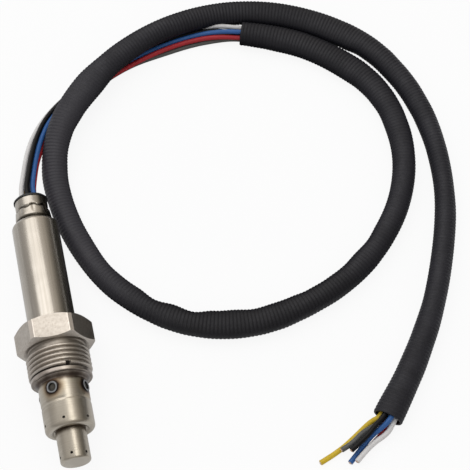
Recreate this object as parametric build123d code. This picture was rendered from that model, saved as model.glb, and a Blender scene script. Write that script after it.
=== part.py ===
from build123d import *
import math
import os

# Exhaust oxygen sensor: a perforated probe with a captive fitting nut, a rear sleeve
# with a crimped grommet, and six leads that run through a corrugated conduit.
#
# Millimetres. The probe axis is parallel to Y: the tip points to -Y, the cable to +Y.
# The nut stands on one of its hexagon flats, on the plane Z = 0, and the harness lies
# on the same plane. The origin is below the middle of the probe.
#
# Along the probe axis, a station is a distance from the rear face of the seat flange,
# positive towards the cable. Around it, an angle is measured from straight up towards +X.

# ---------------------------------------------------------------- driving dimensions

# Fitting nut
HEX_ACROSS_FLATS = 22.0
HEX_CORNER_DIAMETER = 24.7
HEX_THICKNESS = 8.2
HEX_FACE_DIAMETER = 20.8
HEX_CHAMFER_ANGLE = 30.0
THREAD_DIAMETER = 20.0
THREAD_LENGTH = 7.6
THREAD_LEAD_IN = 0.9
UNDERCUT_DIAMETER = 17.8
UNDERCUT_LENGTH = 1.5
NUT_BORE_CLEARANCE = 0.06
NUT_END_PLAY = 0.15
NOTCH_WIDTH = 1.1
NOTCH_DEPTH = 1.0
NOTCH_LENGTH = 1.3
NOTCH_ANGLE = 19.0

# Sensor shell
FLANGE_DIAMETER = 19.2
FLANGE_THICKNESS = 1.5
FLANGE_EDGE = 0.25
CONE_BASE_DIAMETER = 17.4
CONE_LENGTH = 1.3
JOURNAL_DIAMETER = 14.3
SPIGOT_DEPTH = 8.0
SHELL_BORE_DIAMETER = 9.9
SHELL_THROAT_DIAMETER = 6.6
SHELL_THROAT_LENGTH = 4.2
ROLLED_LIP_THICKNESS = 0.8
ROLLED_LIP_DIAMETER = 8.8

# Outer protection tube
OUTER_TUBE_DIAMETER = 15.4
OUTER_TUBE_WALL = 0.4
OUTER_TUBE_REACH = 18.2
OUTER_TUBE_END_RADIUS = 1.5
OUTER_TUBE_DISH = 0.6
OUTER_TUBE_DISH_SLOPE = 0.55
OUTER_TUBE_DISH_RADIUS = 0.7
OUTER_TUBE_LIP_WIDTH = 0.5
WAIST_DEPTH = 0.2
WAIST_HALF_WIDTH = 0.7
WAIST_OFFSET = 1.0
VENT_DIAMETER = 0.85
OUTER_VENT_INSET = 2.4
VENT_COUNT = 6
VENT_PHASE = -8.0
WELD_COUNT = 4
WELD_PHASE = -23.0
WELD_INSET = 2.5
WELD_RIM_DIAMETER = 3.8
WELD_PIT_DIAMETER = 2.4
WELD_RIM_HEIGHT = 0.12
WELD_PIT_DEPTH = 0.22

# Inner protection tube
INNER_TUBE_DIAMETER = 9.4
INNER_TUBE_WALL = 0.4
TIP_REACH = 28.1
TIP_FLOOR = 0.6
TIP_RADIUS = 0.8
TIP_VENT_INSET = 1.9
INNER_FLANGE_DIAMETER = 13.6
INNER_FLANGE_THICKNESS = 0.5

# Ceramics, powder seal and sensing strip
STRIP_WIDTH = 4.2
STRIP_THICKNESS = 1.3
STRIP_TIP_GAP = 3.2
STRIP_REAR_REACH = 12.5
STRIP_CLEARANCE = 0.08
CERAMIC_CLEARANCE = 0.04
FRONT_CERAMIC_LENGTH = 8.0
TALC_LENGTH = 4.5
REAR_CERAMIC_LENGTH = 10.5
REAR_NECK_DIAMETER = 7.4
REAR_NECK_LENGTH = 3.0
CERAMIC_CHAMFER = 0.6
PRESS_RING_THICKNESS = 1.2

# Contact holder and terminals
HOLDER_GAP = 2.0
HOLDER_DIAMETER = 11.2
HOLDER_LENGTH = 14.0
HOLDER_CHAMFER = 0.7
TERMINAL_WIDTH = 0.9
TERMINAL_THICKNESS = 0.3
TERMINAL_PITCH = 1.35
TERMINAL_CLEARANCE = 0.06
TERMINAL_TAIL = 3.6
CRIMP_LENGTH = 3.0
CRIMP_WALL = 0.25
CRIMP_FLOOR = 0.4
RETAINER_WALL = 0.35
RETAINER_LENGTH = 6.0
RETAINER_SLOT = 1.6

# Rear sleeve and its crimped collar
SLEEVE_DIAMETER = 15.1
SLEEVE_WALL = 0.4
SLEEVE_LENGTH = 37.3
SLEEVE_CLEARANCE = 0.02
SHOULDER_RADIUS = 1.8
COLLAR_NECK_DIAMETER = 10.3
COLLAR_BULGE_DIAMETER = 11.3
COLLAR_GROOVE_DIAMETER = 10.0
COLLAR_RIM_DIAMETER = 10.6
COLLAR_BULGE_OFFSET = 2.3
COLLAR_GROOVE_OFFSET = 5.6
COLLAR_LENGTH = 8.2
COLLAR_NECK_RADIUS = 0.3
COLLAR_RADIUS = 1.2

# Grommet
GROMMET_DEPTH = 5.2
GROMMET_LIP_DIAMETER = 11.2
GROMMET_LIP_HEIGHT = 1.0
GROMMET_CLEARANCE = 0.03
GROMMET_LIP_GAP = 0.08
LEAD_CIRCLE_DIAMETER = 5.8
LEAD_HOLE_CLEARANCE = 0.03

# Leads and conduit
LEAD_DIAMETER = 1.7
CONDUIT_DIAMETER = 7.6
CONDUIT_BORE_DIAMETER = 6.2
CONDUIT_MOUTH_DEPTH = 6.0
MOUTH_CIRCLE_DIAMETER = 4.4

# ---------------------------------------------------------------- derived positions

AXIS_HEIGHT = HEX_ACROSS_FLATS / 2
NUT_LENGTH = THREAD_LENGTH + UNDERCUT_LENGTH + HEX_THICKNESS
NUT_FRONT = NUT_END_PLAY
NUT_REAR = NUT_FRONT + NUT_LENGTH
SLEEVE_FRONT = NUT_REAR + NUT_END_PLAY
COLLAR_START = SLEEVE_FRONT + SLEEVE_LENGTH
COLLAR_END = COLLAR_START + COLLAR_LENGTH
GROMMET_REAR = COLLAR_END + GROMMET_LIP_HEIGHT
GROMMET_FRONT = COLLAR_START - GROMMET_DEPTH
PROBE_MIDDLE = (GROMMET_REAR - TIP_REACH) / 2

SPIGOT_RADIUS = OUTER_TUBE_DIAMETER / 2 - OUTER_TUBE_WALL - SLEEVE_CLEARANCE
TUBE_REAR = -FLANGE_THICKNESS - CONE_LENGTH
CERAMIC_RADIUS = SHELL_BORE_DIAMETER / 2 - CERAMIC_CLEARANCE
CERAMIC_FRONT = -SPIGOT_DEPTH + SHELL_THROAT_LENGTH
TALC_FRONT = CERAMIC_FRONT + FRONT_CERAMIC_LENGTH
REAR_CERAMIC_FRONT = TALC_FRONT + TALC_LENGTH
PRESS_RING_FRONT = REAR_CERAMIC_FRONT + REAR_CERAMIC_LENGTH
LIP_FRONT = PRESS_RING_FRONT + PRESS_RING_THICKNESS
SHELL_REAR = LIP_FRONT + ROLLED_LIP_THICKNESS
HOLDER_FRONT = SHELL_REAR + HOLDER_GAP
HOLDER_REAR = HOLDER_FRONT + HOLDER_LENGTH
CRIMP_FRONT = HOLDER_REAR + TERMINAL_TAIL
STRIP_FRONT = -TIP_REACH + TIP_FLOOR + STRIP_TIP_GAP
STRIP_REAR = HOLDER_FRONT + STRIP_REAR_REACH

CRIMP_REAR = CRIMP_FRONT + CRIMP_LENGTH
LEAD_START = CRIMP_FRONT + CRIMP_FLOOR

# The six leads, by colour: their angles round the grommet's hole circle, and round the
# conduit's first and second mouths, from straight up. At a mouth an angle is positive
# towards the left of someone who walks from the sensor to the cut ends.
LEAD_ANGLES = {
    "white": -60.0,
    "black": 0.0,
    "blue": 60.0,
    "red": 120.0,
    "gray": 180.0,
    "yellow": -120.0,
}
FIRST_MOUTH_ANGLES = {
    "white": 98.0,
    "black": 38.0,
    "blue": -22.0,
    "red": -82.0,
    "gray": -142.0,
    "yellow": 158.0,
}
SECOND_MOUTH_ANGLES = {
    "white": 90.0,
    "black": -30.0,
    "blue": 30.0,
    "red": 150.0,
    "gray": -150.0,
    "yellow": -90.0,
}

# ---------------------------------------------------------------- harness routes

# The conduit's centre line, from the mouth nearer the sensor to the mouth with the cut ends.
CONDUIT_ROUTE = [
    (83.0, 101.5, 3.8),
    (97.0, 96.5, 3.8),
    (110.5, 85.5, 3.8),
    (122.0, 70.5, 3.8),
    (127.5, 53.0, 3.8),
    (126.0, 36.0, 3.8),
    (119.0, 20.0, 3.8),
    (106.0, 6.0, 3.8),
    (90.5, -4.0, 3.8),
    (73.0, -11.0, 3.8),
    (54.0, -8.5, 3.8),
    (36.0, -1.5, 3.8),
    (21.0, 13.0, 3.8),
    (12.5, 31.0, 3.8),
    (9.0, 47.5, 3.8),
    (9.8, 61.5, 4.8),
    (15.0, 75.4, 7.2),
    (25.0, 88.6, 7.7),
    (38.5, 99.0, 7.6),
    (55.5, 108.0, 7.1),
    (77.0, 112.5, 4.2),
    (99.5, 107.0, 3.8),
    (120.0, 92.5, 3.8),
    (133.0, 71.5, 3.8),
    (138.5, 49.0, 3.8),
    (137.0, 25.0, 3.8),
    (130.5, 5.0, 3.8),
    (121.0, -16.5, 3.8),
    (109.0, -34.5, 3.8),
    (96.5, -49.5, 3.8),
]

# The bundle between the grommet and the conduit: the places that it passes, with how the
# six leads lie side by side there, as (towards the left, upwards) from the place itself.
BUNDLE_LAYS = {
    "loose": {
        "white": (1.9, 1.3),
        "black": (0.2, 2.4),
        "blue": (-1.35, 1.25),
        "red": (-2.3, -0.5),
        "gray": (-0.55, -1.2),
        "yellow": (1.3, -0.9),
    },
    "settling": {
        "white": (2.6, 0.4),
        "black": (1.0, 1.75),
        "blue": (-0.9, 1.5),
        "red": (-2.5, -0.4),
        "gray": (-0.8, -1.0),
        "yellow": (1.1, -0.9),
    },
    "stacked": {
        "white": (2.7, 0.0),
        "black": (1.65, 1.75),
        "blue": (-0.15, 1.75),
        "red": (-1.95, 1.75),
        "gray": (-0.9, 0.0),
        "yellow": (0.9, 0.0),
    },
    "spread": {
        "white": (3.0, 0.0),
        "black": (1.9, 1.7),
        "blue": (0.1, 1.75),
        "red": (-1.7, 1.75),
        "gray": (-2.9, 0.0),
        "yellow": (1.15, 0.0),
    },
    "gathered": {
        "white": (2.5, 0.0),
        "black": (1.5, 1.7),
        "blue": (-0.35, 1.95),
        "red": (-2.1, 1.2),
        "gray": (-2.0, -0.9),
        "yellow": (0.95, -1.2),
    },
}
BUNDLE_EXIT = (0.0, 49.0, AXIS_HEIGHT)
BUNDLE_ROUTE = [
    ((1.0, 55.4, 10.0), "loose"),
    ((2.9, 63.6, 7.6), "loose"),
    ((6.2, 72.2, 4.0), "settling"),
    ((11.2, 80.8, 1.7), "stacked"),
    ((20.0, 88.5, 0.9), "stacked"),
    ((31.0, 94.2, 0.9), "stacked"),
    ((42.5, 99.4, 0.9), "stacked"),
    ((54.5, 103.0, 0.9), "spread"),
    ((64.5, 104.6, 0.9), "spread"),
    ((73.0, 104.3, 2.4), "gathered"),
]
BUNDLE_ENTRY = 2.5

# The cut ends past the conduit's second mouth.
TAIL_EXIT = 1.0
TAIL_ROUTES = {
    "white": [(95.2, -54.3, 3.2), (91.6, -57.0, 2.6), (88.4, -59.1, 2.4), (84.7, -61.4, 2.3)],
    "black": [(91.8, -52.0, 4.8), (88.8, -54.3, 4.5), (82.5, -57.6, 3.9)],
    "blue": [(93.6, -52.7, 3.9), (90.8, -54.6, 2.5), (86.0, -56.7, 1.1), (81.4, -60.2, 0.9)],
    "red": [(94.2, -52.9, 1.4), (91.2, -55.7, 0.9), (87.6, -58.0, 0.9), (84.3, -60.5, 0.9)],
    "gray": [(91.0, -51.9, 2.4), (87.8, -53.0, 3.0), (83.8, -55.1, 2.9), (79.8, -56.4, 2.65)],
    "yellow": [(91.4, -48.9, 2.1), (85.6, -52.4, 0.9), (79.4, -56.1, 0.9), (72.7, -58.5, 0.9)],
}


# ---------------------------------------------------------------- helpers


def across(angle, radius):
    """Side and lift from the probe axis, at an angle from straight up."""
    turn = math.radians(angle)
    return radius * math.sin(turn), radius * math.cos(turn)


def cut_plane(station, side=0.0, lift=0.0):
    """Plane across the probe axis at a station, facing the cable."""
    return Plane(origin=(side, station, lift), x_dir=(1, 0, 0), z_dir=(0, 1, 0))


def turned(*outline):
    """Solid of revolution of a closed outline of (radius, station) points."""
    return revolve(make_face(Polyline(*outline, close=True)), Axis.Y)


def drawn(line, wall):
    """Thin tube of revolution: its outer line, towards the cable, and its wall inside it."""
    return revolve(make_face(offset(line, wall, side=Side.LEFT)), Axis.Y)


def rod(radius, start, end, side=0.0, lift=0.0):
    """Round bar parallel to the probe axis between two stations."""
    return extrude(cut_plane(start, side, lift) * Circle(radius), end - start)


def bar(width, height, start, end, side=0.0, lift=0.0):
    """Rectangular bar parallel to the probe axis between two stations."""
    return extrude(cut_plane(start, side, lift) * Rectangle(width, height), end - start)


def radial_pegs(radius, inner, outer, station, count, phase):
    """Round pegs that point away from the axis, evenly spaced round it."""
    pegs = []
    for index in range(count):
        side, lift = across(phase + index * 360 / count, 1.0)
        foot = Plane(origin=(side * inner, station, lift * inner), z_dir=(side, 0, lift))
        pegs.append(extrude(foot * Circle(radius), outer - inner))
    return pegs


# ---------------------------------------------------------------- fitting nut


def make_fitting_nut():
    """Hexagon, undercut and male thread in one turned piece, free on the shell's journal."""
    face_radius = HEX_FACE_DIAMETER / 2
    corner_radius = HEX_CORNER_DIAMETER / 2
    chamfer_length = (corner_radius - face_radius) * math.tan(math.radians(HEX_CHAMFER_ANGLE))
    hex_front = NUT_FRONT + THREAD_LENGTH + UNDERCUT_LENGTH
    hexagon = RegularPolygon(HEX_ACROSS_FLATS / 2, 6, major_radius=False)
    prism = extrude(cut_plane(hex_front) * hexagon, HEX_THICKNESS)
    turning = turned(
        (0, hex_front),
        (face_radius, hex_front),
        (corner_radius, hex_front + chamfer_length),
        (corner_radius, NUT_REAR - chamfer_length),
        (face_radius, NUT_REAR),
        (0, NUT_REAR),
    )
    thread_radius = THREAD_DIAMETER / 2
    undercut_radius = UNDERCUT_DIAMETER / 2
    thread_end = NUT_FRONT + THREAD_LENGTH
    barrel = turned(
        (0, NUT_FRONT),
        (thread_radius - THREAD_LEAD_IN, NUT_FRONT),
        (thread_radius, NUT_FRONT + THREAD_LEAD_IN),
        (thread_radius, thread_end - (thread_radius - undercut_radius)),
        (undercut_radius, thread_end),
        (undercut_radius, hex_front),
        (0, hex_front),
    )
    bore = rod(JOURNAL_DIAMETER / 2 + NUT_BORE_CLEARANCE, NUT_FRONT, NUT_REAR)
    side, lift = across(NOTCH_ANGLE, thread_radius)
    notch = Pos(side, NUT_FRONT, lift) * Rot(0, NOTCH_ANGLE, 0) * Box(
        NOTCH_WIDTH, 2 * NOTCH_LENGTH, 2 * NOTCH_DEPTH)
    return (prism & turning) + barrel - bore - notch


# ---------------------------------------------------------------- shell and tubes


def make_sensor_shell():
    """Turned housing: seat flange, journal for the nut, spigots and the stepped bore."""
    flange_radius = FLANGE_DIAMETER / 2
    journal_radius = JOURNAL_DIAMETER / 2
    bore_radius = SHELL_BORE_DIAMETER / 2
    throat_radius = SHELL_THROAT_DIAMETER / 2
    return turned(
        (throat_radius, -SPIGOT_DEPTH),
        (SPIGOT_RADIUS, -SPIGOT_DEPTH),
        (SPIGOT_RADIUS, TUBE_REAR),
        (OUTER_TUBE_DIAMETER / 2, TUBE_REAR),
        (CONE_BASE_DIAMETER / 2, -FLANGE_THICKNESS),
        (flange_radius - FLANGE_EDGE, -FLANGE_THICKNESS),
        (flange_radius, -FLANGE_THICKNESS + FLANGE_EDGE),
        (flange_radius, -FLANGE_EDGE),
        (flange_radius - FLANGE_EDGE, 0),
        (journal_radius, 0),
        (journal_radius, SHELL_REAR - ROLLED_LIP_THICKNESS / 2),
        (journal_radius - ROLLED_LIP_THICKNESS / 2, SHELL_REAR),
        (ROLLED_LIP_DIAMETER / 2, SHELL_REAR),
        (ROLLED_LIP_DIAMETER / 2, LIP_FRONT),
        (bore_radius, LIP_FRONT),
        (bore_radius, CERAMIC_FRONT + CERAMIC_CHAMFER),
        (bore_radius - CERAMIC_CHAMFER, CERAMIC_FRONT),
        (throat_radius, CERAMIC_FRONT),
    )


def make_outer_protection_tube():
    """Drawn tube with six vents, a dished end, a waist and four welds to the shell."""
    radius = OUTER_TUBE_DIAMETER / 2
    wall = OUTER_TUBE_WALL
    end = -OUTER_TUBE_REACH
    lip_radius = INNER_TUBE_DIAMETER / 2 + SLEEVE_CLEARANCE
    waist = -SPIGOT_DEPTH - INNER_FLANGE_THICKNESS - WAIST_OFFSET
    outline = [
        (lip_radius, end + OUTER_TUBE_DISH),
        (lip_radius + OUTER_TUBE_LIP_WIDTH, end + OUTER_TUBE_DISH),
        (lip_radius + OUTER_TUBE_LIP_WIDTH + OUTER_TUBE_DISH_SLOPE, end),
        (radius, end),
        (radius, waist - WAIST_HALF_WIDTH),
        (radius - WAIST_DEPTH, waist),
        (radius, waist + WAIST_HALF_WIDTH),
        (radius, TUBE_REAR),
    ]
    dish = OUTER_TUBE_DISH_RADIUS
    radii = [dish, dish, OUTER_TUBE_END_RADIUS, WAIST_HALF_WIDTH, WAIST_HALF_WIDTH, WAIST_HALF_WIDTH]
    tube = drawn(FilletPolyline(*outline, radius=radii), wall)
    weld_station = TUBE_REAR - WELD_INSET
    for rim in radial_pegs(WELD_RIM_DIAMETER / 2, radius - wall / 2, radius + WELD_RIM_HEIGHT,
                           weld_station, WELD_COUNT, WELD_PHASE):
        tube += rim
    for pit in radial_pegs(WELD_PIT_DIAMETER / 2, radius - WELD_PIT_DEPTH, radius + 2 * WELD_RIM_HEIGHT,
                           weld_station, WELD_COUNT, WELD_PHASE):
        tube -= pit
    for vent in radial_pegs(VENT_DIAMETER / 2, radius - 2 * wall, radius + wall,
                            end + OUTER_VENT_INSET, VENT_COUNT, VENT_PHASE):
        tube -= vent
    return tube


def make_inner_protection_tube():
    """Closed drawn tube that makes the narrow tip, flanged where the outer tube traps it."""
    radius = INNER_TUBE_DIAMETER / 2
    wall = INNER_TUBE_WALL
    end = -TIP_REACH
    flange_front = -SPIGOT_DEPTH - INNER_FLANGE_THICKNESS
    cup = turned(
        (0, end),
        (radius, end),
        (radius, flange_front),
        (INNER_FLANGE_DIAMETER / 2, flange_front),
        (INNER_FLANGE_DIAMETER / 2, -SPIGOT_DEPTH),
        (radius - wall, -SPIGOT_DEPTH),
        (radius - wall, end + TIP_FLOOR),
        (0, end + TIP_FLOOR),
    )
    rim = cup.edges().filter_by(GeomType.CIRCLE).group_by(Axis.Y)[0]
    cup = fillet(rim, TIP_RADIUS)
    for vent in radial_pegs(VENT_DIAMETER / 2, radius - 2 * wall, radius + wall,
                            end + TIP_VENT_INSET, VENT_COUNT, VENT_PHASE):
        cup -= vent
    return cup


# ---------------------------------------------------------------- inside the shell


def strip_slot(start, end):
    """Room for the sensing strip between two stations."""
    return bar(STRIP_WIDTH + 2 * STRIP_CLEARANCE, STRIP_THICKNESS + 2 * STRIP_CLEARANCE, start, end)


def make_sensor_element():
    """Planar ceramic strip, from inside the tip to the contact holder."""
    strip = bar(STRIP_WIDTH, STRIP_THICKNESS, STRIP_FRONT, STRIP_REAR)
    front_edges = strip.faces().sort_by(Axis.Y)[0].edges()
    return chamfer(front_edges, STRIP_THICKNESS / 4)


def make_front_ceramic():
    """Front insulator, seated on the shell's inner shoulder."""
    body = turned(
        (0, CERAMIC_FRONT),
        (CERAMIC_RADIUS - CERAMIC_CHAMFER, CERAMIC_FRONT),
        (CERAMIC_RADIUS, CERAMIC_FRONT + CERAMIC_CHAMFER),
        (CERAMIC_RADIUS, TALC_FRONT),
        (0, TALC_FRONT),
    )
    return body - strip_slot(CERAMIC_FRONT, TALC_FRONT)


def make_talc_seal():
    """Pressed powder ring that seals the strip against the shell."""
    ring = rod(CERAMIC_RADIUS, TALC_FRONT, REAR_CERAMIC_FRONT)
    return ring - strip_slot(TALC_FRONT, REAR_CERAMIC_FRONT)


def make_rear_ceramic():
    """Rear insulator with the neck that the press ring sits round."""
    neck_end = PRESS_RING_FRONT + REAR_NECK_LENGTH
    body = turned(
        (0, REAR_CERAMIC_FRONT),
        (CERAMIC_RADIUS, REAR_CERAMIC_FRONT),
        (CERAMIC_RADIUS, PRESS_RING_FRONT),
        (REAR_NECK_DIAMETER / 2, PRESS_RING_FRONT),
        (REAR_NECK_DIAMETER / 2, neck_end),
        (0, neck_end),
    )
    return body - strip_slot(REAR_CERAMIC_FRONT, neck_end)


def make_press_ring():
    """Steel ring between the rear ceramic and the shell's rolled lip."""
    ring = rod(CERAMIC_RADIUS, PRESS_RING_FRONT, LIP_FRONT)
    return ring - rod(REAR_NECK_DIAMETER / 2 + CERAMIC_CLEARANCE, PRESS_RING_FRONT, LIP_FRONT)


# ---------------------------------------------------------------- contacts


def contact_place(angle):
    """Side and lift of a terminal's blade on the strip, from its lead's angle."""
    side, lift = across(angle, LEAD_CIRCLE_DIAMETER / 2)
    lane = 0 if abs(side) < LEAD_DIAMETER / 2 else math.copysign(TERMINAL_PITCH, side)
    height = STRIP_THICKNESS / 2 + STRIP_CLEARANCE + TERMINAL_THICKNESS / 2
    return lane, math.copysign(height, lift)


def make_contact_holder(face):
    """Half of the split ceramic holder: face is 1 for the upper half and -1 for the lower."""
    body = turned(
        (0, HOLDER_FRONT),
        (HOLDER_DIAMETER / 2 - HOLDER_CHAMFER, HOLDER_FRONT),
        (HOLDER_DIAMETER / 2, HOLDER_FRONT + HOLDER_CHAMFER),
        (HOLDER_DIAMETER / 2, HOLDER_REAR - HOLDER_CHAMFER),
        (HOLDER_DIAMETER / 2 - HOLDER_CHAMFER, HOLDER_REAR),
        (0, HOLDER_REAR),
    )
    middle = HOLDER_DIAMETER / 4 + STRIP_CLEARANCE / 2
    body &= bar(HOLDER_DIAMETER, HOLDER_DIAMETER / 2, HOLDER_FRONT, HOLDER_REAR, lift=face * middle)
    body -= strip_slot(HOLDER_FRONT, HOLDER_REAR)
    for angle in LEAD_ANGLES.values():
        lane, height = contact_place(angle)
        if height * face > 0:
            depth = abs(height) + TERMINAL_THICKNESS / 2 + TERMINAL_CLEARANCE
            body -= bar(TERMINAL_WIDTH + 2 * TERMINAL_CLEARANCE, depth, HOLDER_FRONT, HOLDER_REAR,
                        side=lane, lift=face * depth / 2)
    return body


def make_terminal(angle):
    """Contact blade on the strip, its offset tail and the crimp round the lead's end."""
    lane, height = contact_place(angle)
    side, lift = across(angle, LEAD_CIRCLE_DIAMETER / 2)
    section = Rectangle(TERMINAL_WIDTH, TERMINAL_THICKNESS)
    blade_front = HOLDER_FRONT + HOLDER_CHAMFER
    blade = bar(TERMINAL_WIDTH, TERMINAL_THICKNESS, blade_front, HOLDER_REAR, lane, height)
    tail = loft([cut_plane(HOLDER_REAR, lane, height) * section,
                 cut_plane(CRIMP_FRONT, side, lift) * section])
    hollow_radius = LEAD_DIAMETER / 2 + LEAD_HOLE_CLEARANCE
    barrel = rod(hollow_radius + CRIMP_WALL, CRIMP_FRONT, CRIMP_REAR, side, lift)
    hollow = rod(hollow_radius, LEAD_START, CRIMP_REAR, side, lift)
    return blade + tail + (barrel - hollow)


def make_retainer_spring():
    """Split sleeve that clamps the holder halves and centres them in the rear sleeve."""
    inner = HOLDER_DIAMETER / 2 + CERAMIC_CLEARANCE
    outer = SLEEVE_DIAMETER / 2 - SLEEVE_WALL - SLEEVE_CLEARANCE
    front = HOLDER_FRONT + (HOLDER_LENGTH - RETAINER_LENGTH) / 2
    rear = front + RETAINER_LENGTH
    spring = turned(
        (inner, front),
        (outer, front),
        (outer, front + RETAINER_WALL),
        (inner + RETAINER_WALL, front + RETAINER_WALL),
        (inner + RETAINER_WALL, rear - RETAINER_WALL),
        (outer, rear - RETAINER_WALL),
        (outer, rear),
        (inner, rear),
    )
    return spring - bar(RETAINER_SLOT, outer, front, rear, lift=outer / 2)


# ---------------------------------------------------------------- rear sleeve and grommet


def sleeve_line():
    """Outer line of the sleeve: straight body, shoulder, bulge, groove and open rim."""
    radius = SLEEVE_DIAMETER / 2
    return FilletPolyline(
        (radius, SLEEVE_FRONT),
        (radius, COLLAR_START),
        (COLLAR_NECK_DIAMETER / 2, COLLAR_START),
        (COLLAR_BULGE_DIAMETER / 2, COLLAR_START + COLLAR_BULGE_OFFSET),
        (COLLAR_GROOVE_DIAMETER / 2, COLLAR_START + COLLAR_GROOVE_OFFSET),
        (COLLAR_RIM_DIAMETER / 2, COLLAR_END),
        radius=[SHOULDER_RADIUS, COLLAR_NECK_RADIUS, COLLAR_RADIUS, COLLAR_RADIUS],
    )


def make_rear_sleeve():
    """Drawn sleeve, welded on the shell's rear spigot and crimped round the grommet."""
    return drawn(sleeve_line(), SLEEVE_WALL)


def make_grommet():
    """Rubber grommet with six lead holes, gripped by the collar, its lip standing proud."""
    line = sleeve_line()
    closing = Polyline(line @ 1, (0, COLLAR_END), (0, SLEEVE_FRONT), line @ 0)
    body = revolve(make_face(line.edges() + closing.edges()), Axis.Y)
    body -= drawn(line, SLEEVE_WALL + GROMMET_CLEARANCE)
    body &= rod(COLLAR_NECK_DIAMETER / 2 - SLEEVE_WALL, GROMMET_FRONT, COLLAR_START) + rod(
        SLEEVE_DIAMETER / 2, COLLAR_START, COLLAR_END)
    rim_radius = COLLAR_RIM_DIAMETER / 2 - SLEEVE_WALL - GROMMET_LIP_GAP
    lip_radius = GROMMET_LIP_DIAMETER / 2
    lip_front = COLLAR_END + GROMMET_LIP_GAP
    lip_edge = GROMMET_LIP_HEIGHT / 2
    body += turned(
        (0, COLLAR_END),
        (rim_radius, COLLAR_END),
        (rim_radius, lip_front),
        (lip_radius, lip_front),
        (lip_radius, GROMMET_REAR - lip_edge),
        (lip_radius - lip_edge, GROMMET_REAR),
        (0, GROMMET_REAR),
    )
    hole_radius = LEAD_DIAMETER / 2 + LEAD_HOLE_CLEARANCE
    for angle in LEAD_ANGLES.values():
        side, lift = across(angle, LEAD_CIRCLE_DIAMETER / 2)
        body -= rod(hole_radius, GROMMET_FRONT, GROMMET_REAR, side, lift)
    return body


# ---------------------------------------------------------------- cords


def corner_radii(points):
    """Arc radius at each inner corner: as large as its shorter run allows."""
    radii = []
    for before, corner, after in zip(points, points[1:], points[2:]):
        arriving = corner - before
        leaving = after - corner
        half_turn = math.radians(arriving.get_angle(leaving)) / 2
        radii.append(0.45 * min(arriving.length, leaving.length) / math.tan(half_turn))
    return radii


def make_cord(name, points, radius):
    """Round cord along straight runs joined by tangent arcs."""
    radii = corner_radii(points)
    path = FilletPolyline(*points, radius=radii)
    start = Plane(origin=points[0], z_dir=points[1] - points[0])
    tube = sweep(start * Circle(radius), path=path)
    ideal = math.pi * radius**2 * path.length
    print(f"{name}: length {path.length:.1f}, radii {min(radii):.1f} to {max(radii):.1f}, "
          f"volume {tube.volume:.1f} of {ideal:.1f}")
    return tube


def beside(place, heading, side, rise):
    """Point beside a place on a level route: side is towards its left, rise is upwards."""
    along = Vector(heading.X, heading.Y, 0).normalized()
    return place + Vector(-along.Y, along.X, 0) * side + Vector(0, 0, rise)


def mouth_point(place, heading, angle):
    """Point of a conduit mouth's lead circle, at an angle from straight up."""
    side, rise = across(angle, MOUTH_CIRCLE_DIAMETER / 2)
    return beside(place, heading, side, rise)


def conduit_route():
    """The conduit's places, and its headings at the two mouths."""
    places = [Vector(*place) for place in CONDUIT_ROUTE]
    first = (places[1] - places[0]).normalized()
    last = (places[-1] - places[-2]).normalized()
    return places, first, last


def lead_points(colour):
    """A lead from its crimp, through the grommet and into the conduit's first mouth."""
    side, lift = across(LEAD_ANGLES[colour], LEAD_CIRCLE_DIAMETER / 2)
    start = Vector(side, LEAD_START - PROBE_MIDDLE, AXIS_HEIGHT + lift)
    free = Vector(*BUNDLE_EXIT) + Vector(side, 0, lift)
    places, heading, _ = conduit_route()
    entry = places[0] - heading * BUNDLE_ENTRY
    floor = places[0] + heading * CONDUIT_MOUTH_DEPTH
    route = [Vector(*BUNDLE_EXIT)] + [Vector(*place) for place, _ in BUNDLE_ROUTE] + [entry]
    points = [start, free]
    for before, place, after, (_, how) in zip(route, route[1:], route[2:], BUNDLE_ROUTE):
        points.append(beside(place, after - before, *BUNDLE_LAYS[how][colour]))
    angle = FIRST_MOUTH_ANGLES[colour]
    return points + [mouth_point(entry, heading, angle), mouth_point(floor, heading, angle)]


def tail_points(colour):
    """A lead from inside the conduit's second mouth to its cut end."""
    places, _, heading = conduit_route()
    angle = SECOND_MOUTH_ANGLES[colour]
    floor = mouth_point(places[-1] - heading * CONDUIT_MOUTH_DEPTH, heading, angle)
    leaving = mouth_point(places[-1] + heading * TAIL_EXIT, heading, angle)
    return [floor, leaving] + [Vector(*place) for place in TAIL_ROUTES[colour]]


def make_conduit():
    """Corrugated conduit as a plain round cord, with a short open mouth at each end."""
    places, first, last = conduit_route()
    tube = make_cord("conduit", places, CONDUIT_DIAMETER / 2)
    mouth = Circle(CONDUIT_BORE_DIAMETER / 2)
    tube -= extrude(Plane(origin=places[0], z_dir=first) * mouth, CONDUIT_MOUTH_DEPTH)
    tube -= extrude(Plane(origin=places[-1], z_dir=-last) * mouth, CONDUIT_MOUTH_DEPTH)
    return tube


# ---------------------------------------------------------------- the object

probe = {
    "fitting_nut": make_fitting_nut(),
    "sensor_shell": make_sensor_shell(),
    "outer_protection_tube": make_outer_protection_tube(),
    "inner_protection_tube": make_inner_protection_tube(),
    "sensor_element": make_sensor_element(),
    "front_ceramic": make_front_ceramic(),
    "talc_seal": make_talc_seal(),
    "rear_ceramic": make_rear_ceramic(),
    "press_ring": make_press_ring(),
    "contact_holder_upper": make_contact_holder(1),
    "contact_holder_lower": make_contact_holder(-1),
    "retainer_spring": make_retainer_spring(),
    "rear_sleeve": make_rear_sleeve(),
    "grommet": make_grommet(),
}
for colour, angle in LEAD_ANGLES.items():
    probe["terminal_" + colour] = make_terminal(angle)

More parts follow.
